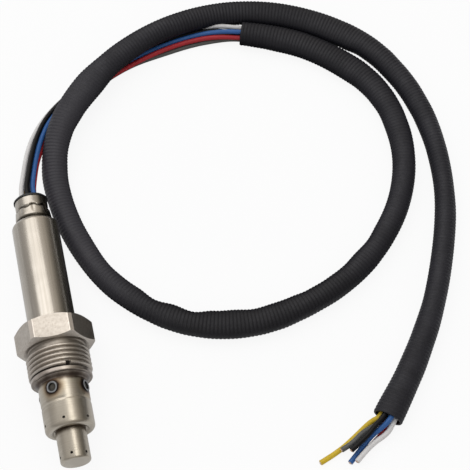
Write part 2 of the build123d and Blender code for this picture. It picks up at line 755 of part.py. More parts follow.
parts = {name: Pos(0, -PROBE_MIDDLE, AXIS_HEIGHT) * solid for name, solid in probe.items()}
parts["conduit"] = make_conduit()
for colour in LEAD_ANGLES:
    lead = "lead_" + colour
    tail = "tail_" + colour
    parts[lead] = make_cord(lead, lead_points(colour), LEAD_DIAMETER / 2)
    parts[tail] = make_cord(tail, tail_points(colour), LEAD_DIAMETER / 2)

os.makedirs("parts", exist_ok=True)
for name, solid in parts.items():
    export_step(solid, "parts/" + name + ".step")
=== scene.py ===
"""Finishes, nut, sleeve and harness of a screw-in exhaust gas probe with six leads in a ribbed conduit."""

import logging
import math
from collections.abc import Iterable, Sequence
from dataclasses import dataclass
from enum import Enum

import bmesh
import bpy
from mathutils import Matrix, Vector


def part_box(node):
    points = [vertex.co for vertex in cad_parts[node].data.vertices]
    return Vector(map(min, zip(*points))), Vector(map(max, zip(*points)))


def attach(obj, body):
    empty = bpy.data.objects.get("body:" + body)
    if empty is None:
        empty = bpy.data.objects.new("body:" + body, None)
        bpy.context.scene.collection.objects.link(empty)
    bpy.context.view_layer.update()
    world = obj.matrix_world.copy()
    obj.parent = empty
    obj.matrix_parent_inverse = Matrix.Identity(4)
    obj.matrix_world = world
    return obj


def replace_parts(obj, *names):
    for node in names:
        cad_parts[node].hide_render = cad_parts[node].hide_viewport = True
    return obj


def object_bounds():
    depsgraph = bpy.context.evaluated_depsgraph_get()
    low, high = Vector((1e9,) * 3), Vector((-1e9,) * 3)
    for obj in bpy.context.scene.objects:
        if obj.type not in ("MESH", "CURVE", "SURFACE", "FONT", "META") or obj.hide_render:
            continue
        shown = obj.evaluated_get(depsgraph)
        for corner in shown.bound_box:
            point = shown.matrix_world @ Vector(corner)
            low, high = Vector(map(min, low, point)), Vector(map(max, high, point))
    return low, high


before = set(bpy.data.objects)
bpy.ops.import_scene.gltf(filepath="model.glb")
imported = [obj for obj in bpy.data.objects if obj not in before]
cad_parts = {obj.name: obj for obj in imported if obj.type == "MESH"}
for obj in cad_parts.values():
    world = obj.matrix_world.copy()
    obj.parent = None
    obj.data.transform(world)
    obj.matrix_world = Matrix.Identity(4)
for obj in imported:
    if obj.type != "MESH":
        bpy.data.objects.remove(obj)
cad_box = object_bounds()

log = logging.getLogger("probe")

Colour = tuple[float, float, float]
Place = tuple[float, float, float]
Socket = bpy.types.NodeSocket
MM = 0.001
AXIS_HEIGHT = (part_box("fitting_nut")[0].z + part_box("fitting_nut")[1].z) / 2


class Body(Enum):
    """The two bodies that pieces ride on."""

    SENSOR = "sensor"
    NUT = "nut"


def placed(name: str, data: bpy.types.ID) -> bpy.types.Object:
    """Puts a mesh, curve, lamp or camera into the scene.

    Args:
        name: the object's name.
        data: what it holds.

    Returns:
        The new object.
    """
    thing = bpy.data.objects.new(name, data)
    bpy.context.scene.collection.objects.link(thing)
    return thing


# ---------------------------------------------------------------- shader wiring


class Net:
    """A node tree while it is being wired."""

    def __init__(self, tree: bpy.types.NodeTree) -> None:
        """Empties the tree and keeps it."""
        tree.nodes.clear()
        self.tree = tree

    def add(self, kind: str, inputs: dict[str | int, object] | None = None,
            **settings: object) -> bpy.types.Node:
        """Adds a node, sets its properties and feeds its sockets.

        Args:
            kind: the node's type, such as "ShaderNodeMath".
            inputs: plain values or other nodes' outputs, by socket name or number.
            settings: the node's own properties.

        Returns:
            The new node.
        """
        node = self.tree.nodes.new(kind)
        for name, value in settings.items():
            setattr(node, name, value)
        for key, value in (inputs or {}).items():
            socket = node.inputs[key]
            if isinstance(value, Socket):
                self.tree.links.new(value, socket)
            else:
                socket.default_value = (*value, 1.0) if socket.type == "RGBA" else value
        return node

    def math(self, operation: str, *terms: float | Socket) -> Socket:
        """One Math node's output."""
        return self.add("ShaderNodeMath", dict(enumerate(terms)), operation=operation).outputs[0]

    def times(self, first: Socket, second: float | Socket) -> Socket:
        """A value multiplied by another."""
        return self.math("MULTIPLY", first, second)

    def apart(self, value: Socket, middle: float) -> Socket:
        """How far a value is from a middle one."""
        return self.math("ABSOLUTE", self.math("SUBTRACT", value, middle))

    def slant(self, first: Socket, second: Socket) -> Socket:
        """The long side over two sides at a right angle."""
        return self.math("SQRT", self.math("ADD", self.times(first, first), self.times(second, second)))

    def spread(self, value: Socket, low: float, high: float, start: float = 0.0, end: float = 1.0) -> Socket:
        """A value between low and high taken smoothly to start and end."""
        inputs = {0: value, 1: low, 2: high, 3: start, 4: end}
        return self.add("ShaderNodeMapRange", inputs, interpolation_type="SMOOTHSTEP").outputs[0]

    def vector(self, operation: str, **inputs: object) -> bpy.types.bpy_prop_collection:
        """The outputs of a Vector Math node fed by a, b and scale."""
        keys = {"a": 0, "b": 1, "scale": "Scale"}
        return self.add("ShaderNodeVectorMath", {keys[name]: value for name, value in inputs.items()},
                        operation=operation).outputs

    def noise(self, place: Socket, scale: float | Socket, detail: float, **inputs: float) -> Socket:
        """A noise texture's value."""
        inputs = {"Vector": place, "Scale": scale, "Detail": detail, **inputs}
        return self.add("ShaderNodeTexNoise", inputs).outputs[0]

    def parts(self, vector: Socket) -> bpy.types.bpy_prop_collection:
        """A vector's three parts."""
        return self.add("ShaderNodeSeparateXYZ", {0: vector}).outputs

    def group(self, tree: bpy.types.NodeTree, **inputs: object) -> bpy.types.bpy_prop_collection:
        """The outputs of a shader group."""
        return self.add("ShaderNodeGroup", inputs, node_tree=tree).outputs

    def mix(self, share: float | Socket, base: Colour | Socket, over: Colour | Socket) -> Socket:
        """A colour laid over another by a share."""
        return self.add("ShaderNodeMix", {0: share, 6: base, 7: over}, data_type="RGBA").outputs[2]

    def lay(self, base: Socket, tone: Colour, value: Socket, *limits: float) -> Socket:
        """A tone laid over a colour by a spread value."""
        return self.mix(self.spread(value, *limits), base, tone)

    def glow(self, colour: Colour) -> Socket:
        """A surface that shines in one colour."""
        return self.add("ShaderNodeEmission", {"Color": colour, "Strength": 1.0}).outputs[0]

    def ramp(self, value: Socket, stops: Sequence[tuple[float, Colour]]) -> Socket:
        """Colours along a value, with the stops in order.

        Args:
            value: the value that runs along the ramp.
            stops: each place on the ramp with its colour.

        Returns:
            The ramp's colour output.
        """
        node = self.add("ShaderNodeValToRGB", {0: value})
        elements = node.color_ramp.elements
        while len(elements) < len(stops):
            elements.new(1.0)
        for element, (place, colour) in zip(elements, stops):
            element.position = place
            element.color = (*colour, 1.0)
        return node.outputs[0]

    def seen(self, path: bpy.types.bpy_prop_collection) -> Socket:
        """Whether the camera looks at the surface, straight or through something clear."""
        return self.math("MAXIMUM", path["Is Camera Ray"], path["Is Transmission Ray"])


class Surface(Net):
    """A material while it is being wired, with the place on its surface."""

    def __init__(self, name: str) -> None:
        """Starts the material.

        Args:
            name: the material's name.
        """
        self.material = bpy.data.materials.new(name)
        self.material.use_nodes = True
        super().__init__(self.material.node_tree)
        self.place = self.add("ShaderNodeTexCoord").outputs["Object"]

    def end(self, shader: Socket) -> bpy.types.Material:
        """Ends the material in a shader and returns it."""
        self.add("ShaderNodeOutputMaterial", {0: shader})
        return self.material


class Effects:
    """Shader groups that several finishes place, each with its own values."""

    def __init__(self) -> None:
        """Builds every group once."""
        self.grain = self._grain()
        self.flecks = self._flecks()
        self.clouds = self._clouds()
        self.cylinder = self._cylinder()
        self.weld = self._weld()

    @staticmethod
    def _open(name: str, **inputs: str) -> tuple[Net, dict[str, Socket]]:
        """Starts a group.

        Args:
            name: the group's name.
            inputs: each input's type, by its name.

        Returns:
            The group's net, and its inputs by name.
        """
        tree = bpy.data.node_groups.new(name, "ShaderNodeTree")
        for label, kind in inputs.items():
            tree.interface.new_socket(name=label, in_out="INPUT", socket_type=f"NodeSocket{kind}")
        net = Net(tree)
        start = net.add("NodeGroupInput")
        return net, {label: start.outputs[label] for label in inputs}

    @staticmethod
    def _close(net: Net, **outputs: Socket) -> bpy.types.NodeTree:
        """Ends a group.

        Args:
            net: the group's net.
            outputs: what each output gives, by its name.

        Returns:
            The group.
        """
        for label in outputs:
            net.tree.interface.new_socket(name=label, in_out="OUTPUT", socket_type="NodeSocketFloat")
        net.add("NodeGroupOutput", outputs)
        return net.tree

    def _grain(self) -> bpy.types.NodeTree:
        """Fine lines left by turning, drawing or rolling.

        Returns:
            The group.
        """
        net, given = self._open("tool_grain", Place="Vector", Across="Float", Along="Float")
        scale = net.add("ShaderNodeCombineXYZ", {0: given["Across"], 1: given["Along"], 2: given["Across"]})
        place = net.vector("MULTIPLY", a=given["Place"], b=scale.outputs[0])[0]
        return self._close(net, Lines=net.spread(net.noise(place, 1.0, 3.0, Roughness=0.6), 0.3, 0.7))

    def _flecks(self) -> bpy.types.NodeTree:
        """Small pits, dust and nicks above a threshold.

        Returns:
            The group.
        """
        net, given = self._open("flecks", Place="Vector", Scale="Float", Threshold="Float")
        noise = net.noise(given["Place"], given["Scale"], 4.0)
        upper = net.math("ADD", given["Threshold"], 0.12)
        return self._close(net, Mask=net.add("ShaderNodeMapRange", {
            0: noise, 1: given["Threshold"], 2: upper}).outputs[0])

    def _clouds(self) -> bpy.types.NodeTree:
        """Broad soft changes of tone.

        Returns:
            The group.
        """
        net, given = self._open("clouds", Place="Vector", Scale="Float")
        noise = net.noise(given["Place"], given["Scale"], 2.0, Distortion=0.6)
        return self._close(net, Mask=net.spread(noise, 0.32, 0.68))

    def _cylinder(self) -> bpy.types.NodeTree:
        """Place round the probe's axis, as an angle from straight up, and along it.

        Returns:
            The group.
        """
        net, given = self._open("round_the_axis", Place="Vector")
        across, along, height = net.parts(given["Place"])
        lift = net.math("SUBTRACT", height, AXIS_HEIGHT)
        return self._close(net, Angle=net.math("ARCTAN2", across, lift), Along=along,
                           Radius=net.slant(across, lift))

    def _weld(self) -> bpy.types.NodeTree:
        """Distance from the nearest of four resistance welds round the tube.

        Returns:
            The group.
        """
        net, given = self._open("weld_distance", Place="Vector", Station="Float", Phase="Float")
        angle, along, radius = net.group(self.cylinder, Place=given["Place"])
        turn = net.math("PINGPONG", net.math("SUBTRACT", angle, given["Phase"]), math.pi / 4)
        along = net.math("SUBTRACT", along, given["Station"])
        return self._close(net, Distance=net.slant(net.times(turn, radius), along))


@dataclass(frozen=True)
class Finish:
    """A procedural finish: two tones, a grain, flecks and a soft bump."""

    name: str
    colour: Colour
    shade: Colour
    metallic: float = 0.0
    roughness: float = 0.4
    roughness_swing: float = 0.1
    across: float = 700.0
    along: float = 700.0
    grain_share: float = 0.4
    fleck: Colour = (0.1, 0.09, 0.08)
    fleck_scale: float = 1800.0
    fleck_threshold: float = 0.66
    fleck_share: float = 0.3
    cloud_scale: float = 90.0
    cloud_share: float = 0.3
    bump: float = 0.01 * MM
    shine: float = 0.5

    def material(self, effects: Effects) -> bpy.types.Material:
        """The finish as a Blender material.

        Args:
            effects: the shader groups to place.

        Returns:
            The new material.
        """
        on = Surface(self.name)
        lines = on.group(effects.grain, Place=on.place, Across=self.across, Along=self.along)[0]
        specks = on.group(
            effects.flecks, Place=on.place, Scale=self.fleck_scale, Threshold=self.fleck_threshold)[0]
        patches = on.group(effects.clouds, Place=on.place, Scale=self.cloud_scale)[0]
        base = on.mix(on.times(lines, self.grain_share), self.colour, self.shade)
        base = on.mix(on.times(patches, self.cloud_share), base, self.shade)
        base = on.mix(on.times(specks, self.fleck_share), base, self.fleck)
        swing = on.times(on.math("ADD", lines, patches), self.roughness_swing / 2)
        height = on.math("SUBTRACT", lines, specks)
        bump = on.add("ShaderNodeBump", {"Strength": 1.0, "Distance": self.bump, "Height": height})
        shader = on.add("ShaderNodeBsdfPrincipled", {
            "Base Color": self.stain(on, effects, base), "Roughness": on.math("ADD", swing, self.roughness),
            "Metallic": self.metallic, "Normal": bump.outputs[0], "Specular IOR Level": self.shine})
        return on.end(shader.outputs[0])

    def stain(self, on: Surface, effects: Effects, base: Socket) -> Socket:
        """The base colour as it is; finishes with marks change it."""
        return base


@dataclass(frozen=True)
class BrownedAndShaded(Finish):
    """Steel with a brown stain from heat and oil along a seam where parts meet, which also stands in for the
    shade there (painted shade).
    """

    seam: float = 0.0
    seam_reach: float = 1.2 * MM
    seam_share: float = 0.9
    seam_stain_and_shade: Colour = (0.05, 0.032, 0.022)
    ragged_scale: float = 420.0
    ragged_reach: float = 1.3 * MM

    def stain(self, on: Surface, effects: Effects, base: Socket) -> Socket:
        """Lays the seam's brown stain and painted shade over the steel.

        Args:
            on: the surface.
            effects: the shader groups to place.
            base: the steel's colour.

        Returns:
            The stained colour.
        """
        along = on.group(effects.cylinder, Place=on.place)["Along"]
        # brown stain and painted shade along the seam
        edge = on.math("ADD", on.apart(along, self.seam), self.ragged(on))
        return on.lay(base, self.seam_stain_and_shade, edge, 0.0, self.seam_reach, self.seam_share, 0.0)

    def ragged(self, on: Surface) -> Socket:
        """An uneven distance that breaks up a stain's edge."""
        noise = on.noise(on.place, self.ragged_scale, 3.0)
        return on.times(on.math("SUBTRACT", noise, 0.5), self.ragged_reach)


@dataclass(frozen=True)
class Welded(BrownedAndShaded):
    """Steel that also carries the heat rings of resistance welds."""

    station: float = 0.0
    phase: float = 0.0
    weld_reach: float = 5.0 * MM
    rings: tuple[tuple[float, Colour], ...] = (
        (0.0, (0.075, 0.072, 0.064)), (0.16, (0.05, 0.047, 0.041)), (0.22, (0.022, 0.02, 0.018)),
        (0.275, (0.17, 0.175, 0.185)), (0.335, (0.28, 0.285, 0.295)), (0.37, (0.03, 0.026, 0.026)),
        (0.45, (0.032, 0.02, 0.013)), (0.55, (0.13, 0.08, 0.04)), (0.7, (0.30, 0.22, 0.13)),
        (1.0, (0.36, 0.31, 0.23)),
    )
    shares: tuple[tuple[float, float], ...] = ((0.0, 1.0), (0.44, 1.0), (0.56, 0.8), (0.72, 0.45), (1.0, 0.0))
    ragged_share: float = 0.6

    def stain(self, on: Surface, effects: Effects, base: Socket) -> Socket:
        """Lays the weld rings and then the browned, shaded seam over the steel.

        Args:
            on: the surface.
            effects: the shader groups to place.
            base: the steel's colour.

        Returns:
            The stained colour.
        """
        phase = math.radians(self.phase)
        away = on.group(effects.weld, Place=on.place, Station=self.station, Phase=phase)[0]
        away = on.math("ADD", away, on.times(self.ragged(on), self.ragged_share))
        away = on.math("DIVIDE", away, self.weld_reach)
        share = on.ramp(away, [(stop, (value,) * 3) for stop, value in self.shares])
        return super().stain(on, effects, on.mix(share, base, on.ramp(away, self.rings)))


@dataclass(frozen=True)
class Patchy(Finish):
    """Nylon with three broad patches, one paler and two darker."""

    reach: float = 62 * MM
    core: float = 20 * MM
    share: float = 0.7
    patches: tuple[tuple[Place, Colour], ...] = (
        ((0.010, 0.045, 0.004), (0.044, 0.042, 0.050)), ((0.064, -0.006, 0.004), (0.001, 0.001, 0.003)),
        ((0.100, 0.106, 0.004), (0.003, 0.003, 0.006)),
    )

    def stain(self, on: Surface, effects: Effects, base: Socket) -> Socket:
        """Lays the patches over the nylon.

        Args:
            on: the surface.
            effects: the shader groups to place.
            base: the nylon's colour.

        Returns:
            The stained colour.
        """
        for middle, tone in self.patches:
            away = on.vector("DISTANCE", a=on.place, b=middle)["Value"]
            base = on.lay(base, tone, away, self.core, self.reach, self.share, 0.0)
        return base


@dataclass(frozen=True)
class Creased(Finish):
    """Drawn steel with painted shade in the neck and the crimped fold of its collar, and a painted shadow on
    the collar's side towards the conduit.
    """

    start: float = 0.0
    painted_shade: Colour = (0.035, 0.030, 0.022)
    neck_offset: float = 0.55 * MM
    neck_line: tuple[float, float] = (0.35 * MM, 0.95 * MM)
    neck_share: float = 0.92
    fold: float = 4.8 * MM
    fold_depth: float = 0.35 * MM
    fold_band: tuple[float, float] = (3.2 * MM, 3.6 * MM)
    fold_share: float = 0.75
    side_angles: tuple[float, float] = (26.0, 46.0)
    side_band: tuple[float, float] = (0.1 * MM, 0.6 * MM)
    side_share: float = 0.88

    def stain(self, on: Surface, effects: Effects, base: Socket) -> Socket:
        """Paints shade into the neck and the crimped fold, and paints the shadow on the collar's side towards
        the conduit.

        Args:
            on: the surface.
            effects: the shader groups to place.
            base: the steel's colour.

        Returns:
            The stained colour.
        """
        angle, along, radius = on.group(effects.cylinder, Place=on.place)
        along = on.math("SUBTRACT", along, self.start)
        # painted shade: a dark line round the neck where the collar leaves the shoulder
        away = on.apart(along, self.neck_offset)
        base = on.lay(base, self.painted_shade, away, *self.neck_line, self.neck_share, 0.0)
        # painted shade in the bottom of the crimped fold
        low = on.spread(radius, self.fold, self.fold + self.fold_depth, self.fold_share, 0.0)
        base = on.mix(on.times(low, on.spread(along, *self.fold_band)), base, self.painted_shade)
        # painted shadow of the conduit on the collar's right side
        side = on.spread(angle, *map(math.radians, self.side_angles), 0.0, self.side_share)
        return on.mix(on.times(side, on.spread(along, *self.side_band)), base, self.painted_shade)


@dataclass(frozen=True)
class Threaded(Finish):
    """Machined steel with painted shade in its thread roots and undercut, deep painted shade in its notch and
    along its front end, and lighter corner strips.
    """

    core: float = 9.15 * MM
    crest: float = 10.0 * MM
    corner: float = 12.25 * MM
    corner_share: float = 0.6
    front: float = 0.0
    front_line: tuple[float, float] = (0.1 * MM, 0.4 * MM)
    front_share: float = 0.95
    rear: float = 0.0
    rear_line: float = 0.4 * MM
    rear_share: float = 0.3
    root_share: float = 0.5
    notch_length: float = 1.45 * MM
    painted_shade: Colour = (0.12, 0.10, 0.082)
    deep_painted_shade: Colour = (0.012, 0.010, 0.009)
    corner_tone: Colour = (0.66, 0.61, 0.56)

    def stain(self, on: Surface, effects: Effects, base: Socket) -> Socket:
        """Paints shade into the thread's roots and the undercut, deep shade into the notch and along the
        front end, and lightens the corner strips.

        Args:
            on: the surface.
            effects: the shader groups to place.
            base: the steel's colour.

        Returns:
            The stained colour.
        """
        _, along, radius = on.group(effects.cylinder, Place=on.place)
        forward, back = on.math("SUBTRACT", along, self.front), on.math("SUBTRACT", along, self.rear)
        root = self.core + 0.6 * (self.crest - self.core)
        # painted shade in the thread's roots
        base = on.lay(base, self.painted_shade, radius, self.core, root, self.root_share, 0.0)
        # deep painted shade on the notch's floor near the front end
        deep = on.spread(radius, self.core - 0.12 * MM, self.core - 0.04 * MM, 1.0, 0.0)
        near = on.spread(forward, self.notch_length - 0.05 * MM, self.notch_length + 0.05 * MM, 1.0, 0.0)
        base = on.mix(on.times(deep, near), base, self.deep_painted_shade)
        # deep painted shade in a line along the thread's front end, by the flange
        base = on.lay(base, self.deep_painted_shade, forward, *self.front_line, self.front_share, 0.0)
        # painted shade in the undercut beside the hexagon
        neck = on.times(on.spread(back, -self.rear_line, 0.0, 0.0, self.rear_share),
                        on.spread(radius, self.crest, self.crest + self.rear_line, 1.0, 0.0))
        base = on.mix(neck, base, self.painted_shade)
        # a lighter tone on the hexagon's turned corner strips
        return on.lay(base, self.corner_tone, radius, self.corner - 0.06 * MM, self.corner, 0.0, self.corner_share)


# ---------------------------------------------------------------- mesh making


def about_axis(angle: float, radius: float, station: float) -> Vector:
    """Point at an angle from straight up towards +X, a radius and a station on the probe's axis."""
    turn = math.radians(angle)
    return Vector((radius * math.sin(turn), station, AXIS_HEIGHT + radius * math.cos(turn)))


def rounded(corners: Sequence[tuple[float, float]], radii: Sequence[float],
            steps: int = 6) -> list[tuple[float, float]]:
    """A line through corners with each inner corner turned into an arc.

    Args:
        corners: the line's corners, as (radius, station).
        radii: the arc radius at each inner corner.
        steps: the parts of each arc.

    Returns:
        The line's points.
    """
    line = [corners[0]]
    for before, corner, after, radius in zip(corners, corners[1:], corners[2:], radii):
        middle = Vector(corner)
        arriving, leaving = (middle - Vector(before)).normalized(), (Vector(after) - middle).normalized()
        turn = arriving.angle_signed(leaving)
        centre = middle - arriving * radius * math.tan(abs(turn) / 2)
        inward = Vector((-arriving.y, arriving.x)) * math.copysign(radius, -turn)
        for step in range(steps + 1):
            swing = Matrix.Rotation(-turn * step / steps, 2)
            line.append(tuple(centre + inward - swing @ inward))
    return line + [corners[-1]]


def inset(line: Sequence[tuple[float, float]], wall: float) -> list[tuple[float, float]]:
    """The inner line of a drawn wall.

    Args:
        line: the outer line, as (radius, station) with stations rising.
        wall: the wall's thickness.

    Returns:
        A point inside each of the line's points.
    """
    inner = []
    for i, (radius, station) in enumerate(line):
        before, after = Vector(line[max(i - 1, 0)]), Vector(line[min(i + 1, len(line) - 1)])
        along = (after - before).normalized()
        inner.append((radius - along.y * wall, station + along.x * wall))
    return inner


class Skin:
    """Points and faces of one piece, gathered ring by ring."""

    weld_gap: float = 0.0005 * MM

    def __init__(self) -> None:
        """Starts with nothing."""
        self.points: list[Vector] = []
        self.faces: list[Sequence[int]] = []

    def ring(self, points: Iterable[Vector]) -> range:
        """Adds a ring of points and returns their numbers."""
        self.points.extend(new := list(points))
        return range(len(self.points) - len(new), len(self.points))

    def circle(self, radius: float, station: float, count: int) -> range:
        """Adds a circle about the probe's axis."""
        return self.ring(about_axis(360 * i / count, radius, station) for i in range(count))

    def chain(self, rings: Sequence[range]) -> None:
        """Faces between each ring and the next, which has as many points."""
        for first, second in zip(rings, rings[1:]):
            self.faces += [(first[i - 1], first[i], second[i], second[i - 1]) for i in range(len(first))]

    def close(self, ring: range) -> None:
        """One flat face over a ring."""
        self.faces.append(tuple(ring))

    def piece(self, name: str, material: bpy.types.Material, body: Body = Body.SENSOR,
              sharp: float = 50.0) -> bpy.types.Object:
        """Welds the skin into a smooth-shaded piece that rides on a body.

        Args:
            name: the piece's name.
            material: its finish.
            body: the body that it rides on.
            sharp: the angle in degrees above which an edge stays sharp.

        Returns:
            The new object.
        """
        mesh = bpy.data.meshes.new(name)
        mesh.from_pydata(self.points, [], self.faces)
        work = bmesh.new()
        work.from_mesh(mesh)
        bmesh.ops.remove_doubles(work, verts=work.verts, dist=self.weld_gap)
        bmesh.ops.dissolve_degenerate(work, edges=work.edges, dist=self.weld_gap)
        bmesh.ops.recalc_face_normals(work, faces=work.faces)
        work.to_mesh(mesh)
        work.free()
        mesh.polygons.foreach_set("use_smooth", [True] * len(mesh.polygons))
        mesh.set_sharp_from_angle(angle=math.radians(sharp))
        mesh.materials.append(material)
        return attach(placed(name, mesh), body.value)


@dataclass
class FittingNut:
    """The captive hexagon nut with its undercut and right-hand male thread."""

    effects: Effects
    across_flats: float = 22.0 * MM
    corner_diameter: float = 24.7 * MM
    thickness: float = 8.2 * MM
    face_diameter: float = 20.8 * MM
    chamfer_angle: float = 30.0
    undercut_diameter: float = 17.8 * MM
    undercut_length: float = 1.5 * MM
    undercut_overlap: float = 0.2 * MM
    undercut_fillet: float = 0.3 * MM
    thread_diameter: float = 20.0 * MM
    core_diameter: float = 18.3 * MM
    pitch: float = 1.5 * MM
    lead_in: float = 0.54 * MM
    run_out: float = 1.4
    bore_diameter: float = 14.42 * MM
    bore_chamfer: float = 0.4 * MM
    notch_angle: float = 19.0
    notch_width: float = 7.5
    notch_length: float = 1.45 * MM
    notch_floor: float = 8.9 * MM
    edge: float = 0.12 * MM
    steps: int = 180
    side_steps: int = 12
    profile: tuple[tuple[float, float], ...] = (
        (0.0, 0.0), (0.1, 0.06), (0.22, 0.5), (0.36, 0.96), (0.44, 1.0), (0.56, 1.0), (0.64, 0.96),
        (0.78, 0.5),
        (0.9, 0.06),
    )

    def hex_angles(self) -> list[float]:
        """Angles round the hexagon, with both edges of each corner's turned strip exact."""
        half = math.degrees(math.acos(self.across_flats / self.corner_diameter))
        return [60 * side - half + 2 * half * i / self.side_steps
                for side in range(6) for i in range(self.side_steps + 1)]

    def hex_radius(self, angle: float) -> float:
        """Distance from the axis to the hexagon's side at an angle."""
        off = math.radians((angle + 30) % 60 - 30)
        return min(self.across_flats / 2 / math.cos(off), self.corner_diameter / 2)

    def hexagon(self, skin: Skin, front: float, rear: float) -> None:
        """Adds the chamfered hexagon, the undercut and the bore.

        Args:
            skin: the skin to add to.
            front: the hexagon's front station.
            rear: its rear station.
        """
        angles = self.hex_angles()
        face, bore, neck = self.face_diameter / 2, self.bore_diameter / 2, self.undercut_diameter / 2
        slope = math.tan(math.radians(self.chamfer_angle))

        def flat(radius: float, station: float) -> range:
            """A circle at the hexagon's own angles."""
            return skin.ring(about_axis(angle, radius, station) for angle in angles)

        def side(end: float, inward: int, step: float, shrink: float = 0.0) -> range:
            """The line where the chamfer meets the sides, moved in by a step and a shrink."""
            spots = ((angle, self.hex_radius(angle)) for angle in angles)
            return skin.ring(
                about_axis(angle, radius - shrink, end + inward * ((radius - face) * slope + step))
                for angle, radius in spots)

        end = front - self.undercut_length - self.undercut_overlap
        loop = [
            flat(bore, end), flat(neck, end), flat(neck, front - self.undercut_fillet),
            flat(neck + self.undercut_fillet, front), flat(face - self.edge, front),
            flat(face, front + self.edge / 3), side(front, 1, -self.edge / 2, self.edge / 4),
            side(front, 1, self.edge), side(rear, -1, self.edge),
            side(rear, -1, -self.edge / 2, self.edge / 4), flat(face, rear - self.edge / 3),
            flat(face - self.edge, rear), flat(bore + self.bore_chamfer, rear),
            flat(bore, rear - self.bore_chamfer),
        ]
        skin.chain(loop + [loop[0]])

    def thread_point(self, turn: float, place: float, depth: float, front: float, rear: float) -> Vector:
        """A point of the thread, drawn in at both ends and at the notch.

        Args:
            turn: turns along the helix.
            place: place across one pitch, from 0 to 1.
            depth: height above the core there, from 0 to 1.
            front: the thread's front station.
            rear: its rear station.

        Returns:
            The point.
        """
        core, height = self.core_diameter / 2, (self.thread_diameter - self.core_diameter) / 2
        station = min(max(front + self.pitch * (turn - 1 + place), front), rear)
        room = min(station - front, (rear - station) * self.run_out) / self.lead_in
        radius = core + height * min(depth, room)
        off = abs((360 * turn - self.notch_angle + 180) % 360 - 180)
        if off <= self.notch_width / 2 and front < station < front + self.notch_length:
            radius = self.notch_floor
        return about_axis(360 * turn, radius, station)

    def thread(self, skin: Skin, front: float, rear: float) -> None:
        """Adds the thread as one helical strip on a closed tube.

        Args:
            skin: the skin to add to.
            front: the thread's front station.
            rear: its rear station.
        """
        turns = math.ceil((rear - front) / self.pitch) + 2
        rows = [skin.ring(self.thread_point(i / self.steps, place, depth, front, rear)
                          for place, depth in self.profile)
                for i in range(turns * self.steps)]
        for i, (row, following) in enumerate(zip(rows, rows[1:])):
            skin.faces += [(row[j], row[j + 1], following[j + 1], following[j]) for j in range(len(row) - 1)]
            if i + self.steps + 1 < len(rows):
                skin.faces.append(
                    (row[-1], rows[i + self.steps][0], rows[i + self.steps + 1][0], following[-1]))
        core, bore = self.core_diameter / 2, self.bore_diameter / 2
        skin.chain([skin.circle(radius, station, self.steps)
                    for radius, station in ((core, front), (bore, front), (bore, rear), (core, rear))])

    def build(self) -> bpy.types.Object:
        """Makes and dresses the nut.

        Returns:
            The nut's object, which stands for its node.
        """
        low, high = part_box("fitting_nut")
        front = high.y - self.thickness
        skin = Skin()
        self.hexagon(skin, front, high.y)
        self.thread(skin, low.y, front - self.undercut_length)
        finish = Threaded(
            "turned_nut_steel", (0.46, 0.425, 0.385), (0.32, 0.285, 0.25), metallic=1.0, roughness=0.34,
            roughness_swing=0.14, across=1100.0, along=1100.0, grain_share=0.45, fleck=(0.2, 0.14, 0.11),
            fleck_scale=2300.0, fleck_threshold=0.6, fleck_share=0.35, cloud_share=0.12, front=low.y,
            rear=front, notch_length=self.notch_length)
        nut = skin.piece("fitting_nut_turned", finish.material(self.effects), Body.NUT, sharp=25.0)
        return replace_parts(nut, "fitting_nut")


